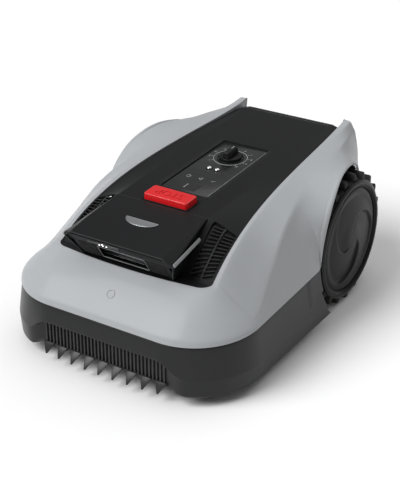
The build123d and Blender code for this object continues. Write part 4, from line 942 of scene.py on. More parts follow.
# ---------------------------------------------------------------- deck and cowl
def rounded_cutter(name, middle, size, corner, low, high, turn=0.0):
    """Upright block with rounded corners for cutting covers."""
    clear_selection()
    bpy.ops.mesh.primitive_cube_add(size=1.0, location=Vector((*middle, (low + high) / 2)) * MM,
                                    rotation=(0, 0, math.radians(turn)),
                                    scale=Vector((*size, high - low)) * MM)
    piece = named(name)
    for edge in piece.data.edges:
        first, second = (piece.data.vertices[index].co for index in edge.vertices)
        edge.select = abs(first.z - second.z) > 1.0 * MM
    weights = piece.data.attributes.new("bevel_weight_edge", "FLOAT", "EDGE")
    for edge in piece.data.edges:
        weights.data[edge.index].value = 1.0 if edge.select else 0.0
    return finish_with(piece, "BEVEL", width=corner * MM, segments=5, limit_method="WEIGHT")


class MOWER_OT_deck(bpy.types.Operator):
    """Charcoal deck with its creases, rolled rear edge and openings"""
    bl_idname = "mower.deck"
    bl_label = "Deck"

    def execute(self, context):
        front_y = OPENING_FRONT_Y + 0.5
        steps = 120
        rows = []
        for k in range(steps + 1):
            share = k / steps
            y = front_y + (DECK_REAR_Y - front_y) * (1.0 - (1.0 - share) ** 1.15)
            half = min(rim_x(y), self.front_half_width(y)) - GAP
            edge_z = deck_edge_z(y)
            lip = 5.0 * (1.0 - ease(y, DECK_REAR_Y - 14.0, DECK_REAR_Y))
            crease = min(DECK_CREASE_X, half - 8.0)
            points = [Vector((-half, y, edge_z - lip)), Vector((-half, y, edge_z)),
                      Vector((-crease, y, deck_middle_z(y))), Vector((crease, y, deck_middle_z(y))),
                      Vector((half, y, edge_z)), Vector((half, y, edge_z - lip))]
            rows.append(rounded_run(points, (0.04, 0.025, 0.025, 0.04), arc=5, straight=6))
        deck = skin("deck", rows, flip=True)
        walled(deck, DECK_WALL)
        panel_size = (2 * (PANEL_HALF_WIDTH + GAP), PANEL_REAR_Y - PANEL_FRONT_Y + 2 * GAP)
        panel = rounded_cutter("panel_cutter", (0, PANEL_MIDDLE_Y), panel_size, 4.0, 180, CUTTER_TOP_Z)
        bay_front_y = OPENING_SIDE_Y - 8.0
        bay = rounded_cutter("bay_cutter", (0, (bay_front_y + COWL_REAR_Y) / 2),
                             (2 * DECK_CREASE_X + 1.0, COWL_REAR_Y - bay_front_y), 1.0, 120, CUTTER_TOP_Z)
        vents = [rounded_cutter("vent_cutter", (side * VENT_X, VENT_Y), VENT_SIZE, 3.0, 120, CUTTER_TOP_Z,
                                side * VENT_TURN) for side in (-1, 1)]
        carve(deck, panel, bay, *vents)
        hand_over(deck, "deck_black", "chassis", "deck_cover")
        return {"FINISHED"}

    def front_half_width(self, y):
        """Half-width of the opening near its bowed front edge and rounded corners."""
        if y >= OPENING_SIDE_Y:
            return OPENING_HALF_WIDTH + 4.0
        straight_share = (OPENING_HALF_WIDTH - OPENING_CORNER) / OPENING_HALF_WIDTH
        depth = y - OPENING_FRONT_Y - OPENING_BOW * straight_share ** 2
        if depth <= 0.0:
            return OPENING_HALF_WIDTH * math.sqrt(max(0.02, (y - OPENING_FRONT_Y) / OPENING_BOW))
        fall = max(0.0, OPENING_CORNER - depth)
        return OPENING_HALF_WIDTH - OPENING_CORNER + math.sqrt(OPENING_CORNER ** 2 - fall ** 2)


def cowl_front_y(z):
    """Front of the cowl at a height; it leans back below its upper edge."""
    top = deck_top_z(COWL_FRONT_Y) - 5.0
    share = min(1.0, max(0.0, (top - z) / (top - COWL_FOOT_Z)))
    return COWL_FRONT_Y + COWL_OVERHANG * share


def cowl_section(y):
    """Section of the cowl: flat top, bevel that carries the light strip, and side wall."""
    share = (COWL_REAR_Y - y) / (COWL_REAR_Y - COWL_FRONT_Y)
    top = deck_top_z(y)
    edge_x = DECK_CREASE_X - 1.0
    bevel = Vector((edge_x + COWL_BEVEL * share, y, top - COWL_BEVEL_DROP * share - 0.5))
    floor = min(max(COWL_FOOT_Z, deck_middle_z(y) - 2.0), bevel.z - 1.0)
    return [Vector((0, y, top)), Vector((edge_x, y, top)), bevel, Vector((COWL_FOOT_X, y, floor))]


class MOWER_OT_cowl(bpy.types.Operator):
    """Charcoal cowl over the front sensors, with a bevelled flank on each side"""
    bl_idname = "mower.cowl"
    bl_label = "Cowl"

    def execute(self, context):
        steps = 44
        rows = []
        for k in range(steps + 1):
            y = COWL_FRONT_Y + (COWL_REAR_Y - COWL_FRONT_Y) * k / steps
            run = rounded_run(cowl_section(y), (0.025, 0.10), arc=5, straight=8)
            half = []
            for point in run:
                front = cowl_front_y(point.z)
                share = (y - COWL_FRONT_Y) / (COWL_REAR_Y - COWL_FRONT_Y)
                half.append(Vector((point.x, front + (COWL_REAR_Y - front) * share, point.z)))
            rows.append(mirrored(reversed(half[1:])) + half)
        cowl = skin("cowl", rows, flip=True)
        walled(cowl, DECK_WALL)
        round_edges(cowl, 0.7, 2, 50.0)
        hand_over(cowl, "deck_black", "chassis", "cowl_cover")
        return {"FINISHED"}


def fascia_frame():
    """Frame on the fascia: its middle, x across, y up the slope and z outwards."""
    low = Vector((0, COWL_FRONT_Y + COWL_OVERHANG, COWL_FOOT_Z))
    high = Vector((0, COWL_FRONT_Y, deck_top_z(COWL_FRONT_Y) - 5.0))
    rise = high - low
    up = rise.normalized()
    across = Vector((1, 0, 0))
    return frame_of((low + high) / 2, across, up, across.cross(up)), rise.length


class MOWER_OT_fascia(bpy.types.Operator):
    """Ribbed fascia under the cowl with its sensor window and status lamps"""
    bl_idname = "mower.fascia"
    bl_label = "Front fascia"

    def execute(self, context):
        turn, height = fascia_frame()
        half_top, half_low = 95.0, 80.0
        sunk, plate_thickness = -3.2, 2.4
        window_half, window_low, window_high = 42.0, -19.0, 9.0
        window_middle, window_height = (window_low + window_high) / 2, window_high - window_low
        plate_low, plate_high = -height / 2 + 0.8, height / 2 - 2.6
        strips = [
            ((plate_low + window_low) / 2, 2 * half_low, window_low - plate_low),
            ((plate_high + window_high) / 2, 2 * half_top - 4.0, plate_high - window_high),
        ]
        pieces = [block("fascia_bar", (0, y, sunk), (wide, tall, plate_thickness), 0.4, turn)
                  for y, wide, tall in strips]
        side_width = half_low + 6.0 - window_half
        rib_count, rib_pitch, rib_length = 13, 2.15, 33.0
        for side in (-1, 1):
            middle = side * (window_half + side_width / 2)
            pieces.append(block("fascia_cheek", (middle, window_middle, sunk),
                                (side_width, window_height, plate_thickness), 0.4, turn))
            for k in range(rib_count):
                y = window_low + 1.4 + k * rib_pitch
                pieces.append(block("fascia_rib", (side * (window_half + 19.0), y, sunk + 1.5),
                                    (rib_length, 0.9, 1.0), 0.25, turn, 1))
        plate = merged("fascia", pieces)
        hand_over(plate, "fascia_black", "chassis", "front_fascia")

        glass = block("sensor_glass", (0, window_middle, sunk - 3.0),
                      (2 * window_half + 1.0, window_height + 1.0, 1.6), 0.4, turn)
        shelf = block("sensor_shelf", (0, window_low + 10.5, sunk - 1.6),
                      (2 * window_half - 10.0, 1.0, 2.6), 0.3, turn)
        hand_over(merged("sensor_glass", [glass, shelf]), "dark_glass", "chassis", "sensor_window")

        outline = []
        for side in (-1, 1):
            outline.append(block("window_side", (side * window_half, window_middle, sunk + 1.2),
                                 (0.8, window_height, 0.9), 0.2, turn, 1))
            outline.append(block("window_edge", (0, window_low if side < 0 else window_high, sunk + 1.2),
                                 (2 * window_half, 0.8, 0.9), 0.2, turn, 1))
        hand_over(merged("window_outline", outline), "strip_grey", "chassis")

        lamp_y = height / 2 - 8.6
        slot = block("lamp_slot", (-27.0, lamp_y, sunk + 1.4), (58.0, 6.6, 1.4), 0.5, turn)
        hand_over(slot, "panel_gloss", "chassis")
        lamps = [rod("lamp", (x, lamp_y + y, sunk + 2.3), 1.3, 0.9, 0.3, turn, 20)
                 for x, y in LAMP_PLACES]
        hand_over(merged("status_lamps", lamps), "led_white", "chassis", "status_leds")
        return {"FINISHED"}


class MOWER_OT_light_strips(bpy.types.Operator):
    """Grey strips along both flanks of the cowl"""
    bl_idname = "mower.light_strips"
    bl_label = "Light strips"

    def execute(self, context):
        for side, name in ((-1, "light_strip_left"), (1, "light_strip_right")):
            front, rear = (Vector((side * x, COWL_FRONT_Y + behind, z)) for x, behind, z in STRIP_ENDS)
            along = (rear - front).normalized()
            out = Vector((side * 0.9, 0.0, 0.43))
            out = (out - along * out.dot(along)).normalized()
            turn = frame_of((front + rear) / 2, along.cross(out), along, out)
            strip = block(name + "_bar", (0, 0, 0.2), (5.4, (rear - front).length, 2.2), 0.7, turn, 3)
            hand_over(strip, "strip_grey", "chassis", name)
        return {"FINISHED"}


class MOWER_OT_vents(bpy.types.Operator):
    """Louvred vents beside the cowl"""
    bl_idname = "mower.vents"
    bl_label = "Side vents"

    def tray(self, side, width, length):
        """Dark tray under the slats, which follows the deck."""
        columns, rows = 8, 16
        grid = []
        for i in range(columns + 1):
            x = side * VENT_X + (i / columns - 0.5) * width
            line = [(x, VENT_Y + (j / rows - 0.5) * length) for j in range(rows + 1)]
            grid.append([Vector((x, y, deck_z_at(x, y) - VENT_DEPTH)) for x, y in line])
        return walled(skin("vent_tray", grid), 1.5)

    def slat(self, x, y, side, reach):
        """One slanted slat that leans forward."""
        lean = side * SLAT_LEAN * reach
        left, right = Vector((x - reach, y - lean, 0)), Vector((x + reach, y + lean, 0))
        for end in (left, right):
            end.z = deck_z_at(end.x, end.y) - 2.6
        along = right - left
        across = along.normalized()
        rise = Vector((0, -0.55, 0.83))
        upward = (rise - across * rise.dot(across)).normalized()
        turn = frame_of((left + right) / 2, across, upward.cross(across), upward)
        return block("slat", (0, 0, 0), (along.length, 1.5, 4.4), 0.35, turn, 1)

    def bar(self, side, length):
        """Upright bar between the two columns of slats."""
        half_width, steps = 1.3, 12
        rows = []
        for j in range(steps + 1):
            y = VENT_Y + (j / steps - 0.5) * length
            x = side * (VENT_X - 0.07 * (y - VENT_Y))
            z = deck_z_at(x, y)
            rows.append([Vector((x + across * half_width, y, z - drop)) for across, drop in
                         ((-1, 4.0), (-1, 1.4), (1, 1.4), (1, 4.0), (-1, 4.0))])
        ends = [[(row[0] + row[2]) / 2] * len(row) for row in (rows[0], rows[-1])]
        return skin("vent_bar", [ends[0], *rows, ends[1]], weld=True)

    def execute(self, context):
        rows = context.scene.mower_sizes.louvre_rows
        width, length = VENT_SIZE
        slats = []
        trays = []
        for side in (-1, 1):
            trays.append(self.tray(side, width + 3.0, length + 3.0))
            for column in (-1, 1):
                for k in range(rows):
                    y = VENT_Y + (k - (rows - 1) / 2) * (length - 7.0) / rows
                    slats.append(self.slat(side * VENT_X + column * width * 0.245, y, side, width * 0.21))
            slats.append(self.bar(side, length - 1.0))
        grille = merged("side_vents", slats)
        hand_over(grille, "deck_black", "chassis", "vent_grilles")
        hand_over(merged("vent_trays", trays), "fascia_black", "chassis")
        return {"FINISHED"}


class MOWER_OT_badge(bpy.types.Operator):
    """Blank half-moon plate on the cowl"""
    bl_idname = "mower.badge"
    bl_label = "Badge plate"

    def execute(self, context):
        low, high = span("badge_plate")
        half = (high.x - low.x) / 2
        length = high.y - low.y
        rings = ((0.0, -0.6), (1.0, -0.6), (1.0, 0.9), (0.965, 1.3), (0.93, 1.3), (0.91, 0.9), (0.0, 0.9))
        steps = 48
        outline = [Vector((half * math.cos(math.pi + math.pi * k / steps),
                           length * math.sin(math.pi + math.pi * k / steps), 0)) for k in range(steps + 1)]
        outline += [Vector((half - 2 * half * k / 12, 0, 0)) for k in range(1, 12)]
        outline.append(outline[0])
        centre = Vector((0, -length * 0.42, 0))
        turn = standing_frame((0, high.y, deck_top_z(high.y)), (0, -DECK_SLOPE - 0.03, 1))
        rows = [[turn @ (centre.lerp(point, share) + Vector((0, 0, up))) for point in outline]
                for share, up in rings]
        plate = skin("badge", rows, weld=True)
        hand_over(plate, "badge_metal", "chassis", "badge_plate", smooth=25.0)
        return {"FINISHED"}


# ---------------------------------------------------------------- control panel
def panel_frame():
    """Frame on the control panel, with its z axis along the panel's normal."""
    floor_z = deck_top_z(PANEL_MIDDLE_Y) - 1.0 - PANEL_SUNK
    return standing_frame((0, PANEL_MIDDLE_Y, floor_z), (0, -DECK_SLOPE, 1))


class MOWER_OT_panel(bpy.types.Operator):
    """Sunken control panel with its display, studs, key signs and bright edge"""
    bl_idname = "mower.panel"
    bl_label = "Control panel"

    def execute(self, context):
        turn = panel_frame()
        length = PANEL_REAR_Y - PANEL_FRONT_Y
        plate = rounded_cutter("panel_plate", (0, 0), (2 * PANEL_HALF_WIDTH, length), 3.5, -2.4, 0.0)
        round_edges(plate, 0.5, 2, 60.0)
        place_in(plate, turn)
        hand_over(plate, "panel_gloss", "chassis", "control_panel")

        seams = [block("panel_seam", (0, y, 0.05), (2 * PANEL_HALF_WIDTH - 3.0, 0.5, 0.3), 0.1, turn, 1)
                 for y in (STUD_Y - 16.0, STUD_Y + 14.0)]
        hand_over(merged("panel_seams", seams), "fascia_black", "chassis")
        edge = block("panel_edge", (PANEL_HALF_WIDTH - 0.4, -4.0, 0.5), (0.9, length - 10.0, 1.2), 0.3, turn)
        hand_over(edge, "strip_grey", "chassis")

        display = rounded_cutter("display", (0, DISPLAY_Y), (28.0, 22.0), 2.0, -0.6, 0.35)
        place_in(display, turn)
        hand_over(display, "dark_glass", "chassis", "display_window")
        # Painted reflection: a thin pale streak on the display glass stands for light shining on it.
        shine = skin("display_painted_shine", [[turn @ Vector(p) for p in row] for row in (
            [(-9, DISPLAY_Y - 7, 0.5), (-9, DISPLAY_Y + 7, 0.5)],
            [(-8, DISPLAY_Y - 7, 0.5), (-8, DISPLAY_Y + 7, 0.5)])])
        walled(shine, 0.2)
        hand_over(shine, "marking_white", "chassis")

        studs = []
        for x in (-9.5, 5.5):
            seat = rod("stud_seat", (x, STUD_Y, 0.3), 5.6, 0.8, 0.2, turn)
            hand_over(seat, "fascia_black", "chassis")
            clear_selection()
            bpy.ops.mesh.primitive_uv_sphere_add(segments=32, ring_count=16, radius=1.0,
                                                 scale=(4.3 * MM, 4.3 * MM, 2.4 * MM))
            stud = named("stud")
            place_in(stud, turn @ Matrix.Translation((x, STUD_Y, 1.1)))
            studs.append(stud)
        hand_over(merged("rain_studs", studs), "chrome", "chassis", "rain_sensor_studs", smooth=60.0)

        signs = [hoop("key_ring", (-23.0, KEY_Y, 0.35), 3.6, 0.35, turn, 36),
                 block("key_stroke", (-23.0, KEY_Y + 2.4, 0.4), (0.7, 3.4, 0.4), 0.1, turn, 1)]
        tick = turn @ Matrix.Translation((22.0, KEY_Y, 0.4))
        for middle, stroke, lean in (((2.0, 0, 0), 6.6, 0.9), ((-1.6, -0.8, 0), 3.0, -0.8)):
            signs.append(block("key_tick", middle, (stroke, 0.7, 0.4), 0.1,
                               tick @ Matrix.Rotation(lean, 4, "Z"), 1))
        for k in range(3):
            lean = Matrix.Rotation(math.radians(90.0 + 120.0 * k), 4, "Z")
            signs.append(block("key_side", (0, -2.0, 0), (6.9, 0.7, 0.4), 0.1,
                               turn @ Matrix.Translation((0, KEY_Y, 0.4)) @ lean, 1))
        hand_over(merged("key_signs", signs), "marking_white", "chassis", "touch_keys")
        return {"FINISHED"}


class MOWER_OT_dial(bpy.types.Operator):
    """Height dial with its ring, numbered marks, bar grip and pointer"""
    bl_idname = "mower.dial"
    bl_label = "Height dial"

    def execute(self, context):
        turn = panel_frame() @ Matrix.Translation((0, DIAL_Y, 0))
        marks = [hoop("dial_ring", (0, 0, 0.1), 27.9, 0.42, turn)]
        for k in range(DIAL_MARKS):
            angle = math.radians(225.0 - 270.0 * k / (DIAL_MARKS - 1))
            spin = turn @ Matrix.Rotation(angle - math.pi / 2, 4, "Z")
            marks.append(block("dial_mark", (0, 31.0, 0.25), (0.7, 3.0, 0.35), 0.1, spin, 1))
            place = Vector((36.0 * math.cos(angle), 34.4 * math.sin(angle), 0.25))
            marks.append(lettering("dial_figure", str(k + 1), 5.4, 0.3, place, turn))
        hand_over(merged("dial_marks", marks), "marking_white", "chassis", "dial_scale")

        disc = rod("dial_disc", (0, 0, 2.9), 19.0, 4.2, 1.0, turn, 96)
        recess = hoop("dial_groove", (0, 0, 0.45), 21.5, 0.8, turn)
        hand_over(recess, "fascia_black", "chassis")
        clear_selection()
        bpy.ops.mesh.primitive_cube_add(size=1.0)
        grip = named("dial_grip")
        for vertex in grip.data.vertices:
            top = vertex.co.z > 0
            wide, long = (5.0, 15.0) if top else (6.8, 16.6)
            vertex.co = Vector((math.copysign(wide, vertex.co.x), math.copysign(long, vertex.co.y),
                                15.7 if top else 4.6)) * MM
        round_edges(grip, 2.2, 5)
        place_in(grip, turn)
        ribs = []
        for side in (-1, 1):
            for k in range(9):
                middle = (side * 5.95, -10.4 + 2.6 * k, 9.4)
                ribs.append(block("grip_rib", middle, (0.8, 1.1, 7.2), 0.3, turn, 1))
        knob = merged("dial_grip", [disc, *ribs, grip])
        hand_over(knob, "knob_black", "height_dial", "dial_knob")
        pointer = block("dial_mark_line", (0, 8.4, 15.75), (1.4, 9.0, 0.4), 0.15, turn, 1)
        hand_over(pointer, "marking_white", "height_dial", "dial_pointer")
        return {"FINISHED"}


class MOWER_OT_stop_button(bpy.types.Operator):
    """Red stop button with soft edges, sunk letters and a collar round it"""
    bl_idname = "mower.stop_button"
    bl_label = "Stop button"

    def execute(self, context):
        turn = standing_frame((0, STOP_Y, deck_top_z(STOP_Y) - 1.0), (0, -DECK_SLOPE, 1))
        wide, long = STOP_SIZE
        cap = rounded_cutter("stop_cap", (0, 0), (wide, long), 4.6, -5.0, STOP_HEIGHT)
        for vertex in cap.data.vertices:
            if vertex.co.z > 0:
                vertex.co.x *= STOP_TAPER[0]
                vertex.co.y *= STOP_TAPER[1]
        round_edges(cap, 1.7, 5, 60.0)
        place_in(cap, turn)
        carve(cap, lettering("stop_letters", "STOP", 21.0, 1.8, (0, 0, STOP_HEIGHT), turn, math.pi))
        hand_over(cap, "stop_red", "stop_button", "stop_button", smooth=40.0)
        well = rounded_cutter("stop_well", (0, 0), (wide + 4.4, long + 4.4), 5.4, 0.0, 1.3)
        hole = rounded_cutter("stop_hole", (0, 0), (wide + 1.8, long + 1.8), 4.8, -3.0, 4.0)
        carve(well, hole)
        round_edges(well, 0.35, 2, 50.0)
        place_in(well, turn)
        hand_over(well, "deck_black", "chassis")
        return {"FINISHED"}


# ---------------------------------------------------------------- skirt and comb
def skirt_path():
    """Stations of the skirt's right half: point on the shell's outline and outward direction."""
    straight = SHELL_SIDE_X - NOSE_CORNER
    corner_y = SHELL_FRONT_Y + NOSE_CORNER
    front_steps, corner_steps, flank_steps = 44, 24, 40
    path = [(Vector((straight * k / front_steps, SHELL_FRONT_Y, 0)), Vector((0, -1, 0)))
            for k in range(front_steps)]
    for k in range(corner_steps):
        turn = math.radians(-90.0 + 90.0 * k / corner_steps)
        out = Vector((math.cos(turn), math.sin(turn), 0))
        path.append((Vector((straight, corner_y, 0)) + out * NOSE_CORNER, out))
    flank_end = WHEEL_Y - ARCH_RADIUS
    for k in range(flank_steps + 1):
        y = corner_y + (flank_end - corner_y) * k / flank_steps
        path.append((Vector((SHELL_SIDE_X, y, 0)), Vector((1, 0, 0))))
    return path


def skirt_arch_y(z):
    """Where the skirt ends ahead of the wheel at a height."""
    radius = ARCH_RADIUS + SKIRT_ARCH_GAP
    return WHEEL_Y - math.sqrt(max(0.0, radius ** 2 - (z - WHEEL_Z) ** 2))


def skirt_section(foot, out):
    """Section of the skirt from its upper edge under the shell to its lower edge."""
    across = abs(foot.x) if out.y < -0.9 else COMB_HALF_WIDTH + COMB_FLARE
    side = ease(across, COMB_HALF_WIDTH - 16.0, COMB_HALF_WIDTH + COMB_FLARE - 10.0)
    around = ease(foot.y, SHELL_FRONT_Y + 4.0, SHELL_FRONT_Y + NOSE_CORNER + 10.0)
    crease_z = SKIRT_CREASE_FRONT_Z - (SKIRT_CREASE_FRONT_Z - SKIRT_CREASE_SIDE_Z) * side
    comb_foot_z = COMB_LOW.z + TOOTH_HEIGHT
    bottom_z = comb_foot_z - (comb_foot_z - SKIRT_FOOT_Z) * side
    top_z = foot_z(foot.y) - SKIRT_TRAVEL_GAP
    hollow = COMB_SUNK * (1.0 - side)
    proud = SKIRT_BULGE - hollow
    bulge = [(-SKIRT_SEAM_INSET - 2.0, top_z), (-SKIRT_SEAM_INSET, top_z - 1.2), (SKIRT_BULGE, crease_z),
             (proud, crease_z - 1.5 - 3.0 * (1.0 - side)),
             (proud - SKIRT_FOOT_INSET * side - 1.0 * around, bottom_z)]
    return [Vector((foot.x + out.x * o, foot.y + out.y * o, z)) for o, z in bulge]


class MOWER_OT_skirt(bpy.types.Operator):
    """Skirt bumper with its upper band, crease and recess for the comb"""
    bl_idname = "mower.skirt"
    bl_label = "Skirt bumper"

    def execute(self, context):
        corner_y = SHELL_FRONT_Y + NOSE_CORNER
        half = []
        for foot, out in skirt_path():
            row = rounded_run(skirt_section(foot, out), (0.3, 0.10, 0.25), arc=5, straight=7)
            if foot.y > corner_y:
                share = (foot.y - corner_y) / (WHEEL_Y - ARCH_RADIUS - corner_y)
                for point in row:
                    point.y = corner_y + (skirt_arch_y(point.z) - corner_y) * share
            half.append(row)
        skirt = skin("skirt", mirrored_rows(half), flip=True)
        walled(skirt, 3.0)
        round_edges(skirt, 0.8, 2, 50.0)
        hand_over(skirt, "skirt_black", "skirt_bumper", "skirt_bumper")
        return {"FINISHED"}


class MOWER_OT_comb(bpy.types.Operator):
    """Front comb: back wall, upright ribs and forward-leaning teeth"""
    bl_idname = "mower.comb"
    bl_label = "Front comb"

    def execute(self, context):
        sizes = context.scene.mower_sizes
        wall_y = SHELL_FRONT_Y - SKIRT_BULGE + COMB_SUNK
        low_z, high_z = COMB_LOW.z + 12.0, SKIRT_CREASE_FRONT_Z - 3.0
        half = COMB_HALF_WIDTH - 4.0
        wall_size = (2 * half, 3.0, high_z - low_z)
        pieces = [block("comb_wall", (0, wall_y + 1.0, (low_z + high_z) / 2), wall_size, 0.6),
                  block("comb_sill", (0, wall_y - 1.6, low_z + 1.2), (2 * half, 5.6, 4.2), 1.0)]
        pitch = 2 * (half - 5.0) / (sizes.rib_count - 1)
        for k in range(sizes.rib_count):
            x = -half + 5.0 + k * pitch
            pieces.append(block("comb_rib", (x, wall_y - 1.9, (low_z + high_z) / 2 + 1.0),
                                (pitch * 0.42, 3.6, high_z - low_z - 4.0), 0.5, None, 1))
        middle = (sizes.tooth_count - 1) / 2
        for k in range(sizes.tooth_count):
            x = (k - middle) * TOOTH_SPACING
            sweep = 8.0 * (x / COMB_HALF_WIDTH) ** 2
            clear_selection()
            bpy.ops.mesh.primitive_cube_add(size=1.0)
            tooth = named("comb_tooth")
            for vertex in tooth.data.vertices:
                side = math.copysign(1.0, vertex.co.x)
                front = vertex.co.y < 0
                if vertex.co.z > 0:
                    y = wall_y - 5.6 if front else wall_y + 2.0
                    vertex.co = Vector((x + side * 9.6, y, low_z + 4.0)) * MM
                else:
                    tip_y = COMB_LOW.y + sweep + 0.4
                    vertex.co = Vector((x + side * 1.3, tip_y if front else tip_y + 2.6, COMB_LOW.z)) * MM
            round_edges(tooth, 0.7, 2)
            pieces.append(tooth)
        comb = merged("comb", pieces)
        hand_over(comb, "skirt_black", "skirt_bumper", "front_comb")
        return {"FINISHED"}


class MOWER_OT_side_trims(bpy.types.Operator):
    """Trims between the shell and the skirt ahead of the wheels, with an S-shaped lower edge"""
    bl_idname = "mower.side_trims"
    bl_label = "Side trims"

    def execute(self, context):
        columns, steps = 26, 10
        slope = (SKIRT_BULGE + SKIRT_SEAM_INSET) / (foot_z(0) - SKIRT_CREASE_SIDE_Z)
        for side, name in ((-1, "side_trim_left"), (1, "side_trim_right")):
            rows = []
            for k in range(columns + 1):
                share = k / columns
                low_z = SKIRT_CREASE_SIDE_Z + 6.0 + 20.0 * ease(share, 0.0, 0.62)
                top_z = foot_z(TRIM_FRONT_Y + TRIM_LENGTH * share) - 0.7
                proud = 1.5 * ease(share, 0.0, 0.35) - 0.6
                rows.append([])
                for j in range(steps + 1):
                    z = top_z + (low_z - top_z) * (j / steps)
                    end_y = WHEEL_Y - math.sqrt(ARCH_RADIUS ** 2 - (z - WHEEL_Z) ** 2)
                    y = TRIM_FRONT_Y + (end_y - TRIM_FRONT_Y) * share
                    x = SHELL_SIDE_X - SKIRT_SEAM_INSET + slope * (foot_z(0) - z) + proud
                    rows[-1].append(Vector((side * x, y, z)))
            trim = skin(name + "_cover", rows, flip=side > 0)
            walled(trim, 1.6)
            round_edges(trim, 0.5, 2, 50.0)
            hand_over(trim, "skirt_black", "chassis", name)
        return {"FINISHED"}


# ---------------------------------------------------------------- drive wheels
TIP_RADIUS = 113.0
TREAD_RADIUS = 102.0
BEAD_RADIUS = 95.8
COVER_RADIUS = 88.0
LUG_TIP_HALF_ANGLE = 3.1        # degrees
LUG_SLANT = 0.03                # radians by which a lug's outer and inner ends lie ahead and behind
VANE_COUNT = 3
VANE_CURL = 1.15
VANE_RAMP = 0.93                # share of a vane that rises before its step


def wheel_point(x, radius, turn):
    """Point of a wheel at an angle in radians about its axle."""
    return Vector((x, WHEEL_Y + radius * math.cos(turn), WHEEL_Z + radius * math.sin(turn)))


def turned(name, outline, side, sides=120):
    """A closed outline of (x, radius) pairs turned about the wheel's axle."""
    rows = []
    loop = list(outline) + [outline[0]]
    for k in range(sides + 1):
        turn = math.tau * k / sides
        rows.append([wheel_point(side * x, radius, turn) for x, radius in loop])
    return skin(name, rows, weld=True)


class MOWER_OT_bumper_springs(bpy.types.Operator):
    """Coil springs behind the skirt"""
    bl_idname = "mower.bumper_springs"
    bl_label = "Bumper springs"

    def execute(self, context):
        wire, turns = 1.3, 4
        outer = (SPRING_HIGH.z - SPRING_LOW.z) / 2
        middle_z = (SPRING_HIGH.z + SPRING_LOW.z) / 2
        length = SPRING_HIGH.y - SPRING_LOW.y
        coils = []
        for side in (-1, 1):
            clear_selection()
            bpy.ops.mesh.primitive_circle_add(vertices=10, radius=wire * MM, rotation=(math.pi / 2, 0, 0),
                                              location=((outer - wire) * MM, 0, wire * MM))
            coil = named("bumper_spring_coil")
            finish_with(coil, "SCREW", axis="Z", angle=math.tau, iterations=turns, steps=20, render_steps=20,
                        screw_offset=(length - 2 * wire) / turns * MM, use_merge_vertices=False)
            edit(coil, lambda: bpy.ops.mesh.select_all(action="DESELECT"), bpy.ops.mesh.select_non_manifold,
                 lambda: bpy.ops.mesh.fill_holes(sides=0), lambda: bpy.ops.mesh.select_all(action="SELECT"),
                 lambda: bpy.ops.mesh.normals_make_consistent(inside=False))
            start = (side * (SPRING_HIGH.x - outer), SPRING_LOW.y, middle_z)
            place_in(coil, standing_frame(start, (0, 1, 0)))
            coils.append(coil)
        springs = merged("bumper_spring_coils", coils)
        hand_over(springs, "spring_steel", "chassis", "bumper_springs")
        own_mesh(springs)
        return {"FINISHED"}


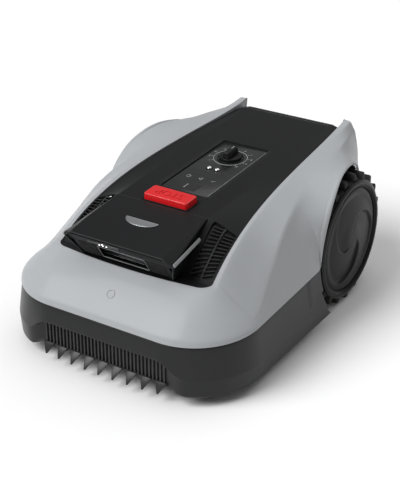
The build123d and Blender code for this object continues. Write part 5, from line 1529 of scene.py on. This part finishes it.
class MOWER_OT_wheels(bpy.types.Operator):
    """Drive wheels: lugged tyres, beaded discs and swirled hub covers"""
    bl_idname = "mower.wheels"
    bl_label = "Drive wheels"

    def lug(self, side, turn):
        """One chunky tread lug with a slanted face and a raised shoulder block."""
        inner_x, outer_x = TYRE_LOW.x, TYRE_HIGH.x
        clear_selection()
        bpy.ops.mesh.primitive_cube_add(size=1.0)
        piece = named("tread_lug")
        for vertex in piece.data.vertices:
            outer = vertex.co.x > 0
            top = vertex.co.z > 0
            ahead = math.copysign(1.0, vertex.co.y)
            degrees = (3.4 if ahead > 0 else -0.2) if top else 4.6 * ahead
            arc = math.radians(degrees) + math.copysign(LUG_SLANT, vertex.co.x)
            radius = TIP_RADIUS - 0.3 if top else TREAD_RADIUS - 3.0
            if top:
                radius /= math.cos(math.radians(LUG_TIP_HALF_ANGLE))
            x = outer_x - (1.5 if top else 0.0) if outer else inner_x + (1.5 if top else 0.0)
            vertex.co = wheel_point(side * x, radius, turn + arc) * MM
        edit(piece, lambda: bpy.ops.mesh.normals_make_consistent(inside=False))
        round_edges(piece, 0.9, 2)
        return piece

    def hub_cover(self, side, name):
        """Domed cover whose three vanes each end in a step."""
        step = bpy.context.scene.mower_sizes.swirl_height / MM
        rings, sides = 46, 216
        base_x = DISC_FACE_X - 3.6
        rows = []
        for k in range(sides + 1):
            turn = math.tau * k / sides
            row = []
            for j in range(rings + 1):
                share = j / rings
                radius = COVER_RADIUS * (1.0 - share)
                dome = 5.2 * (1.0 - (radius / COVER_RADIUS) ** 2.4)
                lean = side * turn * VANE_COUNT / math.tau + VANE_CURL * (radius / COVER_RADIUS) ** 1.3
                phase = lean - math.floor(lean)
                ramp = phase if phase < VANE_RAMP else (1.0 - phase) / 0.07
                swirl = step * ramp * ease(radius, 8.0, 40.0) * (1.0 - ease(radius, 72.0, 82.0))
                edge = -1.6 * ease(radius, COVER_RADIUS - 2.5, COVER_RADIUS)
                row.append(wheel_point(side * (base_x + dome - swirl + edge), radius, turn))
            rows.append([wheel_point(side * (base_x - 1.6), 0.0, turn)] + row)
        return skin(name, rows, weld=True)

    def execute(self, context):
        count = context.scene.mower_sizes.lug_count
        for side, tail in ((-1, "left"), (1, "right")):
            body = "wheel_" + tail
            inner_x, outer_x = TYRE_LOW.x, TYRE_HIGH.x
            bore = TREAD_RADIUS - 13.5
            carcass = turned("tyre_carcass", [
                (inner_x, bore), (inner_x, TREAD_RADIUS - 4.0), (inner_x + 3.0, TREAD_RADIUS - 1.0),
                (inner_x + 12.0, TREAD_RADIUS), (outer_x - 12.0, TREAD_RADIUS),
                (outer_x - 3.0, TREAD_RADIUS - 0.8), (outer_x, TREAD_RADIUS - 3.0), (outer_x, bore)], side)
            lugs = [self.lug(side, -math.pi / 2 + math.tau * k / count) for k in range(count)]
            tyre = merged("lugged_tyre_" + tail, lugs + [carcass])
            hand_over(tyre, "tyre_rubber", body, "tyre_" + tail)

            web_x = inner_x + 8.0
            face_x = DISC_FACE_X
            rim = turned("wheel_rim_" + tail, [
                (web_x, 6.2), (web_x, bore + 0.2), (outer_x - 0.6, bore + 0.2),
                (outer_x + 0.4, TREAD_RADIUS - 3.0), (face_x - 2.6, BEAD_RADIUS + 5.2),
                (face_x - 0.7, BEAD_RADIUS + 2.6),
                (face_x, BEAD_RADIUS), (face_x - 0.5, BEAD_RADIUS - 2.6),
                (face_x - 2.4, BEAD_RADIUS - 4.6), (face_x - 3.6, COVER_RADIUS + 1.4),
                (face_x - 6.4, COVER_RADIUS + 0.8), (face_x - 6.6, bore - 6.0), (web_x + 4.0, bore - 6.0),
                (web_x + 4.0, 24.0), (face_x - 9.0, 24.0), (face_x - 9.0, 6.2)], side)
            hand_over(rim, "wheel_black", body, "wheel_disc_" + tail)
            cover = self.hub_cover(side, "swirl_cover_" + tail)
            hand_over(cover, "wheel_black", body, "hub_cover_" + tail, smooth=30.0)
        return {"FINISHED"}


# ---------------------------------------------------------------- finishes of the CAD nodes
class MOWER_OT_finishes(bpy.types.Operator):
    """Materials of the pieces that keep their CAD shape"""
    bl_idname = "mower.finishes"
    bl_label = "Finishes"

    def execute(self, context):
        slots = {row["node"]: row["material_slot"] for row in frame["record"]["subparts"]}
        for node, thing in frame["nodes"].items():
            thing.data.materials.clear()
            thing.data.materials.append(finish_material(slots[node]))
        return {"FINISHED"}


# ---------------------------------------------------------------- stage
FLOOR_SIZE = 60.0               # metres
# Each light: name, direction it comes from, softness in degrees, strength.
LIGHTS = (("key_light", (-1.2, -1.8, 2.2), 40.0, 2.9), ("top_light", (0.1, 0.9, 2.3), 70.0, 0.9),
          ("side_light", (2.2, 1.2, 1.1), 40.0, 0.06))
WORLD_STRENGTH = 0.26
CAMERA_TARGET = (0.0, -0.012, 0.102)
CAMERA_AZIMUTH, CAMERA_ELEVATION = 32.643, 27.432
CAMERA_DISTANCE = 2.0232
CAMERA_LENS = 88.96


class MOWER_OT_stage(bpy.types.Operator):
    """Pale floor, soft lights and the camera"""
    bl_idname = "mower.stage"
    bl_label = "Studio"

    def floor(self):
        """A wide pale floor."""
        clear_selection()
        bpy.ops.mesh.primitive_plane_add(size=FLOOR_SIZE)
        ground = named("studio_floor")
        material, tree, shader, place = new_material("Studio Floor", roughness=0.85)
        cloud = add_node(tree, "ShaderNodeTexNoise", in_Scale=1.5, in_Detail=2.0)
        tree.links.new(place, cloud.inputs["Vector"])
        tree.links.new(mixed(tree, cloud.outputs["Fac"], (0.86, 0.86, 0.86), (0.89, 0.89, 0.89)),
                       shader.inputs["Base Color"])
        ground.data.materials.append(material)

    def light(self, name, direction, softness, strength):
        """A distant light from a direction, as soft as a wide diffuser."""
        clear_selection()
        bpy.ops.object.light_add(type="SUN", location=direction)
        lamp = bpy.context.object
        lamp.name = name
        lamp.data.energy = strength
        lamp.data.angle = math.radians(softness)
        lamp.rotation_euler = Vector(direction).to_track_quat("Z", "Y").to_euler()

    def execute(self, context):
        self.floor()
        for name, direction, softness, strength in LIGHTS:
            self.light(name, direction, softness, strength)
        world = bpy.data.worlds.new("studio_world")
        context.scene.world = world
        world.use_nodes = True
        background = world.node_tree.nodes["Background"]
        background.inputs["Color"].default_value = (1.0, 1.0, 1.0, 1.0)
        background.inputs["Strength"].default_value = WORLD_STRENGTH
        context.scene.view_settings.view_transform = "Standard"

        azimuth, elevation = math.radians(CAMERA_AZIMUTH), math.radians(CAMERA_ELEVATION)
        back = Vector((math.sin(azimuth) * math.cos(elevation), -math.cos(azimuth) * math.cos(elevation),
                       math.sin(elevation)))
        clear_selection()
        bpy.ops.object.camera_add(location=Vector(CAMERA_TARGET) + back * CAMERA_DISTANCE)
        camera = bpy.context.object
        camera.name = "studio_camera"
        camera.rotation_euler = (-back).to_track_quat("-Z", "Y").to_euler()
        camera.data.sensor_fit = "AUTO"
        camera.data.sensor_width = 36.0
        camera.data.lens = CAMERA_LENS
        context.scene.camera = camera
        return {"FINISHED"}


OPERATORS = (MOWER_OT_shell, MOWER_OT_arch_flanges, MOWER_OT_nose_mark, MOWER_OT_deck, MOWER_OT_cowl,
             MOWER_OT_fascia, MOWER_OT_light_strips, MOWER_OT_vents, MOWER_OT_badge, MOWER_OT_panel,
             MOWER_OT_dial, MOWER_OT_stop_button, MOWER_OT_skirt, MOWER_OT_comb, MOWER_OT_side_trims,
             MOWER_OT_bumper_springs, MOWER_OT_wheels, MOWER_OT_finishes, MOWER_OT_stage)


class MOWER_PT_sidebar(bpy.types.Panel):
    """Lists the mower's sizes, colours and building steps"""
    bl_label = "Robotic Mower"
    bl_idname = "MOWER_PT_sidebar"
    bl_space_type = "VIEW_3D"
    bl_region_type = "UI"
    bl_category = "Mower"

    def draw(self, context):
        layout = self.layout
        for group in (context.scene.mower_sizes, context.scene.mower_colours):
            for name in group.bl_rna.properties.keys():
                if name not in ("rna_type", "name"):
                    layout.prop(group, name)
        for operator in OPERATORS:
            layout.operator(operator.bl_idname)


CLASSES = (MowerSizes, MowerColours) + OPERATORS + (MOWER_PT_sidebar,)


def register():
    for item in CLASSES:
        bpy.utils.register_class(item)
    bpy.types.Scene.mower_sizes = PointerProperty(type=MowerSizes)
    bpy.types.Scene.mower_colours = PointerProperty(type=MowerColours)


def unregister():
    del bpy.types.Scene.mower_colours
    del bpy.types.Scene.mower_sizes
    for item in reversed(CLASSES):
        bpy.utils.unregister_class(item)


def main():
    """Registers the add-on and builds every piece."""
    register()
    for operator in OPERATORS:
        group, step = operator.bl_idname.split(".")
        getattr(getattr(bpy.ops, group), step)()


if __name__ == "__main__":
    main()
